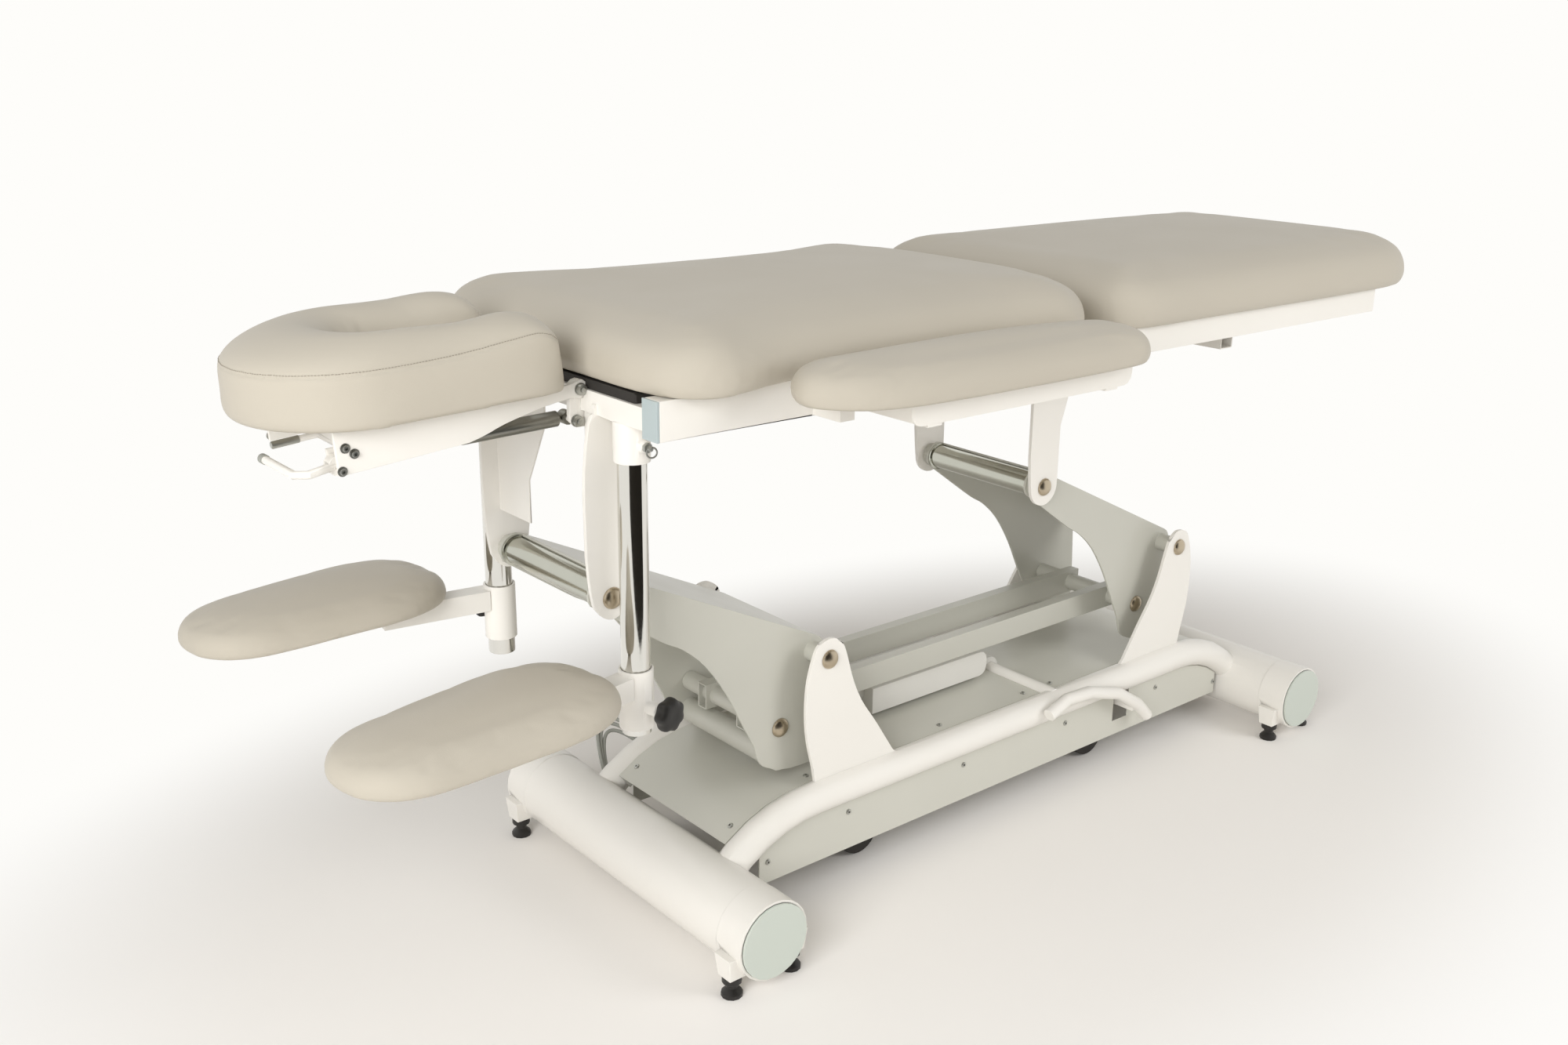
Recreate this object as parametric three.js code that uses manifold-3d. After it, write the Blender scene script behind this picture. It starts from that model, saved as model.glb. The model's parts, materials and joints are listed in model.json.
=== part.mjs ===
// Electric massage table with a lifting base, a padded top in sections and two forearm rests.
// Millimetres, +Z up, head end towards -X, near side towards -Y, floor at z = 0.
import * as THREE from 'three';
import { mergeVertices } from 'three/addons/utils/BufferGeometryUtils.js';
import Module from 'manifold-3d';

const wasm = await Module();
wasm.setup();

// General clearances and facet counts
const gap = 0.3; // between pieces that touch
const overrun = 5; // how far a cutting shape passes the face it cuts
const round = 24; // sides of large round pieces
const tubeSides = 16; // sides of round tubes
const pinSides = 12; // sides of pins and their bores
const ends = [-1, 1]; // head end, foot end
const sides = [-1, 1]; // near side, far side

// Base: two round crossbars, two bent rails, eight feet
const crossbarX = 627.5;
const crossbarRadius = 57.15;
const crossbarWall = 3;
const crossbarHalf = 300;
const crossbarZ = 75.3;
const collarWidth = 51.8;
const collarStep = 0.8;
const endDiscInset = 3;
const endDiscThick = 4;
const railRadius = 24.15;
const railBore = 21;
const railY = 154;
const railZ = 162;
const railFlatHalf = 430;
const railCurveLength = 100; // from the straight run to the bend's control point
const railCurveRun = 70; // from the control point to the rail's end
const railDrop = 67;
const railBendShares = [0.2, 0.4, 0.6, 0.82, 1];
const panEndShare = 0.82;
const crossTubeX = 97;
const crossTubeZ = 178;
const crossTubeRadius = 11;
const footSpread = 50.6;
const footInset = 26;
const footRadius = 15;
const footHeight = 30;
const bracketTop = 34; // square leg bracket, widest
const bracketBottom = 27;
const bracketRise = 34;

// Floor pan and side panels
const panLift = 16; // pan above the rails' centre line
const panThick = 2;
const panHalf = 134;
const flangeOuter = 129.4;
const flangeThick = 3;
const flangeDrop = 26;
const panelOuter = 160;
const panelThick = 2.5;
const panelBottom = 58;
const panelHeadEnd = 540;
const panelFootEnd = 558;
const pedalSlotLow = 85;
const pedalSlotStart = 255;
const pedalSlotWidth = 41;
const guideOuter = 34;
const guideBottom = 110;
const boxHead = -150;
const boxLength = 190;
const boxNear = 62;
const boxWidth = 64;
const boxHeight = 36;

// Lift linkage: pivot A on the fins, B on the hangers, C on the drag link
const pivotSpread = 822.5; // from the head arm's pivot A to the foot arm's
const pivotHead = -407.3;
const pivotZ = 373.4;
const armReach = 352; // from A towards the head end to B
const armRise = 168.3; // from A up to B
const armDepth = 177; // from A down to the arm's lowest edge
const armTail = 36; // from A to the arm's rear edge
const armEye = 24;
const armHalf = 112; // outer faces of the arm's side plates
const armPlate = 4;
const topPlate = 3;
const linkBack = 57.9; // from A towards the head end to C
const linkDrop = 105.3; // from A down to C
const pinRadius = 7;
const pinPlay = 0.35;
const pinHead = 14.5;
const pinDome = 8;
const pivotTube = 19;
const bossRadius = 15;
const pushTubeBack = 57.7; // from A to the actuator's cross tube
const pushTubeDrop = 154.9;
const finOuter = 152;
const finThick = 6;
const finFlare = 166.3;
const linkBarOuter = 57;
const linkBarWidth = 20;
const linkBarHeight = 40;
const linkBarWall = 2;
const linkBarEnd = 22;

// Actuator between the cross tube and the head arm
const motorHead = -209;
const motorFoot = 57;
const motorHalf = 36;
const motorBottom = 187;
const motorTop = 231;
const motorCorner = 16;
const thrustRadius = 16;
const thrustEnd = -292;
const strokeRadius = 10;
const strokePlay = 0.4;
const strokeDepth = -128;
const strokeInner = -240;
const pushBack = 22.7; // from A to where the rod pushes the head arm
const pushDrop = 158.4;
const earHalf = 5;
const earRadius = 10;
const cheekInner = 6.5;
const cheekOuter = 14;
const cheekRadius = 12;
const clevisReach = 15;
const clevisThick = 10;
const lugHalf = 8;
const lugHeight = 11;
const lugRadius = 20;

// Top, drawn round the head hangers' pivot, which is set on the lift arm's end
const hangerX = -759.3;
const hangerZ = 541.7;
const frameOuter = 262;
const frameWidth = 30;
const frameBottom = 773;
const frameTop = 821.7;
const frameWall = 2;
const frameHead = -775;
const frameFoot = 14;
const headBeamWidth = 46;
const headBeamBottom = 780;
const headBeamTop = 808;
const footBeamWidth = 54;
const footStubReach = 96;
const footStubHalf = 14;
const railCapThick = 4;
const stayTubeX = -532; // fixed cross tube that shows beside the wings
const stayTubeSize = 24;
const stayTubeHalf = 313;
const hangerOuter = 131;
const hangerThick = 6;
const hangerHalf = 37;
const hangerFoot = 31; // how far the foot hanger reaches below B
const hangerHeadFoot = 29.5; // and the head hanger
const gussetX = -770;
const gussetThick = 3;
const gussetLow = 598;
const gussetReach = 125;

// Posts, forearm rests
const postX = -753;
const postY = 171.4;
const postRadius = 19;
const postBore = 16.5;
const postPlay = 0.4;
const postBottom = 371;
const sleeveOuter = 23;
const sleeveBottom = 729;
const pullPinZ = 752;
const pullPinRadius = 3;
const pullPinPlay = 0.5;
const pullPinTip = 17; // from the post's axis
const pullBossRadius = 8;
const pullBossEnd = 30;
const pullKnobRadius = 9;
const pullKnobLength = 12;
const restSleeveOuter = 22.5;
const restSleeveLength = 80;
const restNearLift = 8; // near rest's sleeve above the post's end
const restFarLift = 23;
const restNearTurn = 12; // degrees outwards
const restFarTurn = 8;
const restTubeSize = 30;
const restTubeLow = 45;
const restTubeReach = 172;
const knobHeight = 31;
const knobBossRadius = 9;
const knobBossEnd = 38;
const knobStem = 4;
const knobStemStart = 21;
const knobStart = 46;
const knobThick = 20;
const knobRadius = 22.5;
const knobLobes = 5;
const restCushionOffset = 258;
const restCushionLength = 360;
const restCushionWidth = 195;
const restCushionThick = 50;
const restNearSkew = -4; // degrees, how far a pad sits askew on its arm
const restFarSkew = 14;

// Head section, in its own frame at the hinge, tilted down
const headHingeX = -779;
const headHingeZ = 808;
const headTilt = 5; // degrees
const headEye = 12;
const headPlateOuter = 100;
const headPlateThick = 5;
const headPlateReach = 315;
const headPlateDrop = 30.6;
const headSeat = 19;
const headNeck = 45;
const hingeLugThick = 8;
const hingePinRadius = 5;
const gasAnchorX = -782;
const gasAnchorZ = 768;
const gasY = 70; // towards the near side
const gasRadius = 10;
const gasBodyLength = 130;
const gasRodRadius = 4;
const gasRodInner = 60;
const gasEyeRadius = 9;
const gasEyeHalf = 7;
const gasPinRadius = 4;
const gasEyePlay = 2;
const gasBarBack = 234;
const gasBarDrop = 25.7;
const handleRadius = 5;
const handleStart = 306;
const handleReach = 355;
const handleNear = 75;
const handleOuter = 85;
const handleFar = 17;
const handleDrop = 24;
const steelRodRadius = 4;
const steelRodTip = 347;
const steelRodDrop = 7;
const headCushionStart = 33; // from the hinge
const headCushionEnd = 384;
const headCushionHalf = 135;
const headHoleHalf = 47;
const headHoleEnd = 236; // from the hinge to the hole's head end
const headPadSlope = 0.047; // the pad's seat rises this much towards its head end
const headPadLevel = 250; // where the seat has its full height
const headCrown = 100;

// Body cushions
const torsoHead = -782;
const torsoFoot = 27;
const torsoHalf = 308;
const torsoThick = 90;
const legHead = 35;
const legFoot = 925;
const legHalf = 287;
const legBottom = 814;
const legThick = 100;
const wingGap = 10; // between a wing and the torso cushion
const wingOuter = 445;
const wingBottom = 812;
const wingThick = 58;
const wingHead = -642;
const wingFoot = -68;
const wingPlateY = 400;
const wingPlateThick = 3;
const wingPlateHead = -510;
const wingPlateFoot = -95;
const wingPlateBottom = 779;
const wingPlateCorner = 16;
const wingFlange = 60;
const wingTubeSize = 24;
const wingTubeBottom = 775.3;
const wingTubeInner = 130;
const wingTubeHead = -470;
const wingTubeFoot = -135;

// Leg section
const legHingeX = 31;
const legHingeZ = 798;
const legLugRadius = 12;
const legLugOuter = 231.7;
const legLugThick = 7;
const legLugReach = 70;
const legFrameStart = 46;
const legFrameFoot = 774;
const legFrameBottom = 773;
const legFrameThick = 3;
const legBeamWidth = 30;
const legBeamHeight = 24;
const legBeamFirst = 135;
const legBeamLast = 660;
const catchTubeX = 406;
const catchTubeHalf = 213;
const catchTubeWidth = 32;
const catchTubeBottom = 740;
const catchTubeHeight = 25;
const catchStrap = 8;

// Castors and pedal
const wheelRadius = 37.5;
const wheelLift = 2;
const wheelWidth = 24;
const wheelY = 97;
const wheelHead = -298;
const wheelFoot = 257;
const axleRadius = 5;
const hubClear = 1;
const carriageHalf = 15;
const carriageBottom = 60;
const carriageHeight = 24;
const carriagePostTop = 166;
const pedalY = 190;
const pedalRadius = 11;
const pedalAxisY = 110;
const pedalAxisZ = 120;
const pedalShaftRadius = 7;
const pedalBossRadius = 12;
const pedalBossHalf = 14;
const pedalLeverX = 276;
const pedalLeverHalf = 8;
const pedalBracketHalf = 35;
const pedalBracketThick = 4;
const pedalRun = 268; // from the grip's head end to its foot end
const pedalHead = 44;
const pedalLow = 92;
const pedalArch = 92;

// Cable bundle on the far side, hand-set points from the crossbar to the side panel
const cableRadius = 3;
const cableStart = [-568, 190, 92];
const cableEnd = [-462, 161.4, 100];
const cableSpread = 9;
const cableOut = 92;
const cableRise = 52;

// Places that follow from the sizes
const pivotFoot = pivotHead + pivotSpread;
const armDirection = Math.hypot(armReach, armRise);
const pushX = pivotHead - pushBack;
const actuatorZ = pivotZ - pushDrop;
const topPivotZ = pivotZ + armRise;
const finDrop = pivotZ - railZ;
const hangerRise = headBeamBottom + (headBeamTop - headBeamBottom) / 2 - hangerZ;
const torsoLength = torsoFoot - torsoHead;

// Materials
const white = new THREE.MeshStandardMaterial({ color: 0xe9e8e2, roughness: 0.45, metalness: 0.1 });
const grey = new THREE.MeshStandardMaterial({ color: 0xb4b5af, roughness: 0.4, metalness: 0.3 });
const paleGrey = new THREE.MeshStandardMaterial({ color: 0xbdc4c1, roughness: 0.5, metalness: 0.1 });
const steel = new THREE.MeshStandardMaterial({ color: 0xc9c2b4, roughness: 0.25, metalness: 1 });
const chrome = new THREE.MeshStandardMaterial({ color: 0xd8d6d0, roughness: 0.06, metalness: 1 });
const black = new THREE.MeshStandardMaterial({ color: 0x1b1b1c, roughness: 0.5, metalness: 0 });
const vinyl = new THREE.MeshStandardMaterial({ color: 0xa9a39b, roughness: 0.55, metalness: 0 });
const cable = new THREE.MeshStandardMaterial({ color: 0x8d8f8c, roughness: 0.6, metalness: 0 });

// Solids from geometries and back
function solid(geometry) {
  const bare = geometry.clone();
  bare.deleteAttribute('normal');
  bare.deleteAttribute('uv');
  const merged = mergeVertices(bare);
  const index = merged.index.array;
  const kept = [];
  for (let i = 0; i < index.length; i += 3) {
    const corners = new Set([index[i], index[i + 1], index[i + 2]]);
    if (corners.size === 3) kept.push(...corners);
  }
  return new wasm.Manifold(new wasm.Mesh({
    numProp: 3,
    vertProperties: merged.attributes.position.array,
    triVerts: Uint32Array.from(kept),
  }));
}

function geometryOf(body) {
  const mesh = body.getMesh();
  const geometry = new THREE.BufferGeometry();
  geometry.setAttribute('position', new THREE.BufferAttribute(mesh.vertProperties, 3));
  geometry.setIndex(new THREE.BufferAttribute(mesh.triVerts, 1));
  geometry.computeVertexNormals();
  return geometry;
}

function piece(name, body, material) {
  const mesh = new THREE.Mesh(geometryOf(body), material);
  mesh.name = name;
  return mesh;
}

function joined(bodies) {
  return bodies.reduce((whole, body) => whole.add(body));
}

function cut(body, tools) {
  return tools.reduce((rest, tool) => rest.subtract(tool), body);
}

// Simple shapes in table axes
function block(x0, x1, y0, y1, z0, z1) {
  const geometry = new THREE.BoxGeometry(x1 - x0, y1 - y0, z1 - z0);
  geometry.translate((x0 + x1) / 2, (y0 + y1) / 2, (z0 + z1) / 2);
  return solid(geometry);
}

function rod(axis, at, radius, from, to, count = tubeSides) {
  const [a, b] = at;
  const geometry = new THREE.CylinderGeometry(radius, radius, to - from, count);
  geometry.translate(0, (from + to) / 2, 0);
  if (axis === 'x') geometry.rotateZ(-Math.PI / 2).translate(0, a, b);
  if (axis === 'y') geometry.translate(a, 0, b);
  if (axis === 'z') geometry.rotateX(Math.PI / 2).translate(a, b, 0);
  return solid(geometry);
}

function extruded(outline, depth) {
  const shape = new THREE.Shape(outline.map(([a, b]) => new THREE.Vector2(a, b)));
  return new THREE.ExtrudeGeometry(shape, { depth, bevelEnabled: false });
}

// Upright plate: outline in X and Z, thickness along Y
function uprightPlate(outline, y0, y1) {
  const geometry = extruded(outline, y1 - y0);
  geometry.rotateX(Math.PI / 2).translate(0, y1, 0);
  return solid(geometry);
}

// Cross plate: outline in Y and Z, thickness along X
function crossPlate(outline, x0, x1) {
  const geometry = extruded(outline, x1 - x0);
  const axes = new THREE.Matrix4().makeBasis(
    new THREE.Vector3(0, 1, 0),
    new THREE.Vector3(0, 0, 1),
    new THREE.Vector3(1, 0, 0),
  );
  geometry.applyMatrix4(axes).translate(x0, 0, 0);
  return solid(geometry);
}

function lathe(profile, count) {
  const points = profile.map(([r, y]) => new THREE.Vector2(r, y));
  return new THREE.LatheGeometry(points, count);
}

function arc(cx, cz, radius, start, end, steps) {
  const points = [];
  for (let i = 0; i <= steps; i++) {
    const angle = THREE.MathUtils.degToRad(start + (end - start) * i / steps);
    points.push([cx + radius * Math.cos(angle), cz + radius * Math.sin(angle)]);
  }
  return points;
}

// Even steps along a smooth line through flat points
function eased(points, count) {
  const curve = new THREE.SplineCurve(points.map(([x, y]) => new THREE.Vector2(x, y)));
  return curve.getPoints(count).map((p) => [p.x, p.y]);
}

// A route of straight runs through its own points, for tubes
class Route extends THREE.Curve {
  constructor(points) {
    super();
    this.points = points;
  }

  getPoint(t) {
    const along = t * (this.points.length - 1);
    const index = Math.min(Math.floor(along), this.points.length - 2);
    return this.points[index].clone().lerp(this.points[index + 1], along - index);
  }

  getPointAt(t) {
    return this.getPoint(t);
  }

  getTangentAt(t) {
    return this.getTangent(t);
  }
}

function tube(points, radius, count) {
  const shape = new THREE.Shape(arc(0, 0, radius, 0, 360, count).slice(1).map(([a, b]) => new THREE.Vector2(a, b)));
  const extrudePath = new Route(points.map(([x, y, z]) => new THREE.Vector3(x, y, z)));
  return solid(new THREE.ExtrudeGeometry(shape, { steps: points.length - 1, extrudePath, bevelEnabled: false }));
}

// Padded shapes
const cushionProfileShares = [
  // inset as a share of the edge roll, height as a share of the thickness
  [0.16, 0],
  [0.04, 0.06],
  [0, 0.17],
  [0.02, 0.34],
  [0.11, 0.52],
  [0.3, 0.68],
  [0.6, 0.79],
  [1, 0.87],
];
const crownShares = [
  // scale towards the middle, height as a share of the thickness
  [0.7, 0.945],
  [0.38, 0.985],
];
const edgeRoll = 68;
const restRoll = 44;
const wingRoll = 46;

function smoothOutline(points, count) {
  const route = points.map(([x, y]) => new THREE.Vector3(x, y, 0));
  const curve = new THREE.CatmullRomCurve3(route, true, 'centripetal');
  return curve.getSpacedPoints(count).slice(0, count);
}

function stackedRings(rings, bottomCentre, topCentre) {
  const count = rings[0].length;
  const positions = rings.flat().flatMap((p) => [p.x, p.y, p.z]);
  const bottom = positions.length / 3;
  positions.push(...bottomCentre, ...topCentre);
  const index = [];
  for (let k = 0; k < rings.length - 1; k++) {
    for (let i = 0; i < count; i++) {
      const a = k * count + i;
      const b = k * count + (i + 1) % count;
      index.push(a, b, b + count, a, b + count, a + count);
    }
  }
  const last = (rings.length - 1) * count;
  for (let i = 0; i < count; i++) {
    const next = (i + 1) % count;
    index.push(bottom, next, i);
    index.push(bottom + 1, last + i, last + next);
  }
  const geometry = new THREE.BufferGeometry();
  geometry.setAttribute('position', new THREE.Float32BufferAttribute(positions, 3));
  geometry.setIndex(index);
  return solid(geometry);
}

// Cushion over a plan outline, with drawn-in sides and a crown
function cushion(outlinePoints, count, bottom, thick, roll = edgeRoll) {
  const outline = smoothOutline(outlinePoints, count);
  const middle = outline.reduce((sum, p) => sum.add(p), new THREE.Vector3()).divideScalar(count);
  const inward = outline.map((p, i) => {
    const ahead = outline[(i + 1) % count];
    const behind = outline[(i + count - 1) % count];
    return new THREE.Vector3(behind.y - ahead.y, ahead.x - behind.x, 0).normalize();
  });
  const ring = (inset, height, scale) => outline.map((p, i) => {
    const moved = p.clone().addScaledVector(inward[i], inset).sub(middle).multiplyScalar(scale).add(middle);
    return moved.setZ(bottom + height);
  });
  const rings = [
    ...cushionProfileShares.map(([inset, height]) => ring(inset * roll, height * thick, 1)),
    ...crownShares.map(([scale, height]) => ring(roll, height * thick, scale)),
  ];
  return stackedRings(rings, [middle.x, middle.y, bottom], [middle.x, middle.y, bottom + thick]);
}

// Plan outline from its far half, listed from the foot end to the head end
function mirrored(half) {
  return [...half, ...half.map(([x, y]) => [x, -y]).reverse()];
}

// Base frame: one welded piece
function railPoints() {
  const bend = (share) => [
    railFlatHalf + 2 * share * (1 - share) * railCurveLength + share * share * (railCurveLength + railCurveRun),
    railZ - share * share * railDrop,
  ];
  const foot = [[railFlatHalf, railZ], ...railBendShares.map(bend)];
  return [...foot.map(([x, z]) => [-x, z]).reverse(), ...foot];
}

// The rail's centre line moved along its normal, cut off at the pan's ends
function besideRail(offset, lastShare) {
  const bends = railBendShares.filter((share) => share <= lastShare).length;
  const points = railPoints();
  const first = railBendShares.length - bends;
  const kept = points.slice(first, points.length - first);
  return kept.map(([x, z], i) => {
    const [x0, z0] = points[first + i - 1] ?? [x, z];
    const [x1, z1] = points[first + i + 1] ?? [x, z];
    const length = Math.hypot(x1 - x0, z1 - z0);
    return [x - offset * (z1 - z0) / length, z + offset * (x1 - x0) / length];
  });
}

function crossbar(end) {
  const seam = crossbarHalf - collarWidth;
  const wide = crossbarRadius + collarStep;
  const profile = [
    [0, -crossbarHalf],
    [wide, -crossbarHalf],
    [wide, -seam],
    [crossbarRadius, -seam],
    [crossbarRadius, seam],
    [wide, seam],
    [wide, crossbarHalf],
    [0, crossbarHalf],
  ];
  return solid(lathe(profile, round).translate(end * crossbarX, 0, crossbarZ));
}

function legBracket(x, y) {
  const low = footHeight + gap;
  const half = Math.SQRT1_2;
  const geometry = new THREE.CylinderGeometry(bracketTop * half, bracketBottom * half, bracketRise, 4);
  geometry.rotateY(Math.PI / 4).rotateX(Math.PI / 2).translate(x, y, low + bracketRise / 2);
  return solid(geometry);
}

const finOuterShares = [[-0.153, 0.085], [-0.233, -0.108], [-0.256, -0.302], [-0.239, -0.534], [-0.164, -0.783]];
const finInnerShares = [[0.798, -0.86], [0.577, -0.595], [0.402, -0.399], [0.291, -0.22], [0.202, 0]];
const finTipShares = [[0.15, 0.09], [0.07, 0.137], [0, 0.147], [-0.08, 0.133]];
const finRootShares = [[-0.115, -1], [1, -1]];

// Fin that carries a lift arm, with its flare towards the middle
function fin(end, side) {
  const edge = eased([...finInnerShares, ...finTipShares, ...finOuterShares], 44);
  const x = end < 0 ? pivotHead : pivotFoot;
  const outline = [...edge, ...finRootShares].map(([a, b]) => [x - end * a * finFlare, pivotZ + b * finDrop]);
  const y = side * (finOuter - finThick / 2);
  const plate = uprightPlate(end < 0 ? outline : outline.reverse(), y - finThick / 2, y + finThick / 2);
  return plate.subtract(pinBore(x, pivotZ));
}

function pinBore(x, z) {
  return rod('y', [x, z], pinRadius + pinPlay, -legHalf, legHalf, pinSides);
}

const pedalBracketShares = [[0.9, 1], [0.55, 0.93], [0, 0.47], [-0.27, 0.27], [-0.32, -0.27], [0, -0.47], [0.9, 0.4]];

function baseFrame() {
  const rails = sides.map((side) => tube(railPoints().map(([x, z]) => [x, side * railY, z]), railRadius, tubeSides));
  const railBores = sides.map((side) => tube(railPoints().map(([x, z]) => [x, side * railY, z]), railBore, pinSides));
  const pedalArm = railY - pedalAxisY;
  const bracketRiseZ = railZ - pedalAxisZ - pedalBossRadius;
  const bracketOutline = pedalBracketShares.map(([a, b]) => [-pedalAxisY - a * pedalArm, pedalAxisZ + b * bracketRiseZ]);
  const pedalBrackets = ends.map((end) => {
    const x = pedalLeverX + end * pedalBracketHalf;
    return crossPlate(bracketOutline, x - pedalBracketThick / 2, x + pedalBracketThick / 2);
  });
  const welded = joined([
    ...ends.map(crossbar),
    ...rails,
    ...ends.flatMap((end) => sides.map((side) => fin(end, side))),
    rod('y', [crossTubeX, crossTubeZ], crossTubeRadius, -railY, railY),
    ...footPlaces().map(([x, y]) => legBracket(x, y)),
    ...pedalBrackets,
    rod('x', [-pedalAxisY, pedalAxisZ], pedalShaftRadius, pedalLeverX - pedalBracketHalf, pedalLeverX + pedalBracketHalf),
  ]);
  const bores = ends.map((end) => rod(
    'y',
    [end * crossbarX, crossbarZ],
    crossbarRadius - crossbarWall,
    -crossbarHalf - overrun,
    crossbarHalf + overrun,
    round,
  ));
  return cut(welded, [...bores, ...railBores]);
}

function footPlaces() {
  const y = crossbarHalf - footInset;
  return ends.flatMap((end) => sides.flatMap((side) => ends.map((way) => [
    end * crossbarX + way * footSpread,
    side * y,
  ])));
}

const footShares = [[1, 0], [1, 0.2], [0.55, 0.42], [0.55, 0.62], [0.92, 0.7], [0.92, 1]];

function foot() {
  const profile = [[0, 0], ...footShares.map(([r, h]) => [r * footRadius, h * footHeight]), [0, footHeight]];
  return solid(lathe(profile, pinSides).rotateX(Math.PI / 2));
}

function floorPan() {
  const top = besideRail(panLift, panEndShare);
  const under = besideRail(panLift - panThick, panEndShare);
  const low = besideRail(panLift - panThick - flangeDrop, panEndShare);
  const plate = uprightPlate([...top, ...under.reverse()], -panHalf, panHalf);
  const flangeTop = besideRail(panLift - panThick / 2, panEndShare);
  const flanges = sides.map((side) => {
    const y = side * (flangeOuter - flangeThick / 2);
    return uprightPlate([...flangeTop, ...[...low].reverse()], y - flangeThick / 2, y + flangeThick / 2);
  });
  const panTop = railZ + panLift;
  const guides = [wheelHead, wheelFoot].map((x) => {
    const outer = guideOuter / 2;
    const inner = carriageHeight / 2 + gap;
    const sleeve = block(x - outer, x + outer, -outer, outer, guideBottom, panTop - panThick / 2);
    return sleeve.subtract(block(x - inner, x + inner, -inner, inner, guideBottom - overrun, panTop - panThick));
  });
  const saddle = rod('y', [crossTubeX, crossTubeZ], crossTubeRadius + gap, -railY, railY);
  const slot = block(
    crossTubeX - crossTubeRadius - gap,
    crossTubeX + crossTubeRadius + gap,
    -railY,
    railY,
    crossTubeZ,
    crossTubeZ + crossTubeRadius,
  );
  const clear = lugHalf + hubClear;
  const reach = lugRadius + hubClear;
  const lugSlot = block(crossTubeX - reach, crossTubeX + reach, -clear, clear, railZ, crossTubeZ + lugRadius);
  return cut(joined([plate, ...flanges, ...guides]), [saddle, slot, lugSlot]);
}

function sidePanel(side) {
  const rail = besideRail(-railRadius - gap, 1);
  const under = (x) => {
    const next = rail.findIndex(([place]) => place > x);
    const [x0, z0] = rail[next - 1];
    const [x1, z1] = rail[next];
    return [x, z0 + (z1 - z0) * (x - x0) / (x1 - x0)];
  };
  const bends = rail.filter(([x]) => x > -panelHeadEnd && x < panelFootEnd).reverse();
  const outline = [
    [-panelHeadEnd, panelBottom],
    [panelFootEnd, panelBottom],
    under(panelFootEnd),
    ...bends,
    under(-panelHeadEnd),
  ];
  const y = side * (panelOuter - panelThick / 2);
  const plate = uprightPlate(outline, y - panelThick / 2, y + panelThick / 2);
  if (side > 0) return plate;
  const end = pedalSlotStart + pedalSlotWidth;
  return plate.subtract(block(pedalSlotStart, end, -railY - railRadius, -railY + railRadius, pedalSlotLow, railZ));
}

function controlBox() {
  const z = railZ + panLift + gap;
  return block(boxHead, boxHead + boxLength, boxNear, boxNear + boxWidth, z, z + boxHeight);
}

// Lift arms, drag link and pins
const armLowerShares = [
  // from B's eye round the open arc to the tail: X as a share of the reach, Z of the depth
  [-0.86, 0.6],
  [-0.735, 0.43],
  [-0.648, 0.33],
  [-0.543, 0.141],
  [-0.44, -0.153],
  [-0.355, -0.48],
  [-0.301, -0.684],
  [-0.276, -0.836],
  [-0.23, -0.921],
  [-0.111, -1],
  [0.057, -1],
];
const armTailShares = [[0.9, -0.97], [1, -0.9], [0.7, -0.03]];

function armOutline(x) {
  const slope = THREE.MathUtils.radToDeg(Math.atan2(armRise, armReach));
  const upper = 90 - slope;
  const towardsB = arc(x - armReach, topPivotZ, armEye, upper, upper + 150, 8);
  const lower = armLowerShares.map(([a, b]) => [x + a * armReach, pivotZ + b * armDepth]);
  const tail = armTailShares.map(([a, b]) => [x + a * armTail, pivotZ + b * armDepth]);
  return [...towardsB, ...eased(lower, 30), ...tail, ...arc(x, pivotZ, armEye, 0, upper, 4)];
}

function topPlateOutline(x) {
  const away = [armRise / armDirection, armReach / armDirection];
  const outer = armEye;
  const inner = armEye - topPlate;
  const b = [x - armReach, topPivotZ];
  const a = [x, pivotZ];
  const moved = (p, d) => [p[0] + away[0] * d, p[1] + away[1] * d];
  return [moved(b, inner), moved(a, inner), moved(a, outer), moved(b, outer)];
}

function liftArm(x, pushed) {
  const plates = sides.map((side) => {
    const y = side * (armHalf - armPlate / 2);
    return uprightPlate(armOutline(x), y - armPlate / 2, y + armPlate / 2);
  });
  const bosses = sides.map((side) => {
    const from = armHalf - armPlate;
    const to = finOuter - finThick - gap;
    return rod('y', [x, pivotZ], bossRadius, ...(side < 0 ? [-to, -from] : [from, to]));
  });
  const hangerInner = hangerOuter - hangerThick - gap;
  const parts = [
    ...plates,
    ...bosses,
    uprightPlate(topPlateOutline(x), -armHalf + armPlate / 2, armHalf - armPlate / 2),
    rod('y', [x - armReach, topPivotZ], pivotTube, -hangerInner, hangerInner),
  ];
  if (pushed) {
    const tubeX = x - pushTubeBack;
    const tubeZ = pivotZ - pushTubeDrop;
    parts.push(rod('y', [tubeX, tubeZ], pivotTube, -armHalf, armHalf));
    parts.push(uprightPlate([
      [tubeX, tubeZ - earRadius],
      ...arc(pushX, actuatorZ, earRadius, -90, 90, 6),
      [tubeX, tubeZ + earRadius],
    ], -earHalf, earHalf));
  }
  const bores = [
    pinBore(x, pivotZ),
    pinBore(x - armReach, topPivotZ),
    pinBore(x - linkBack, pivotZ - linkDrop),
  ];
  return cut(joined(parts), bores);
}

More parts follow.
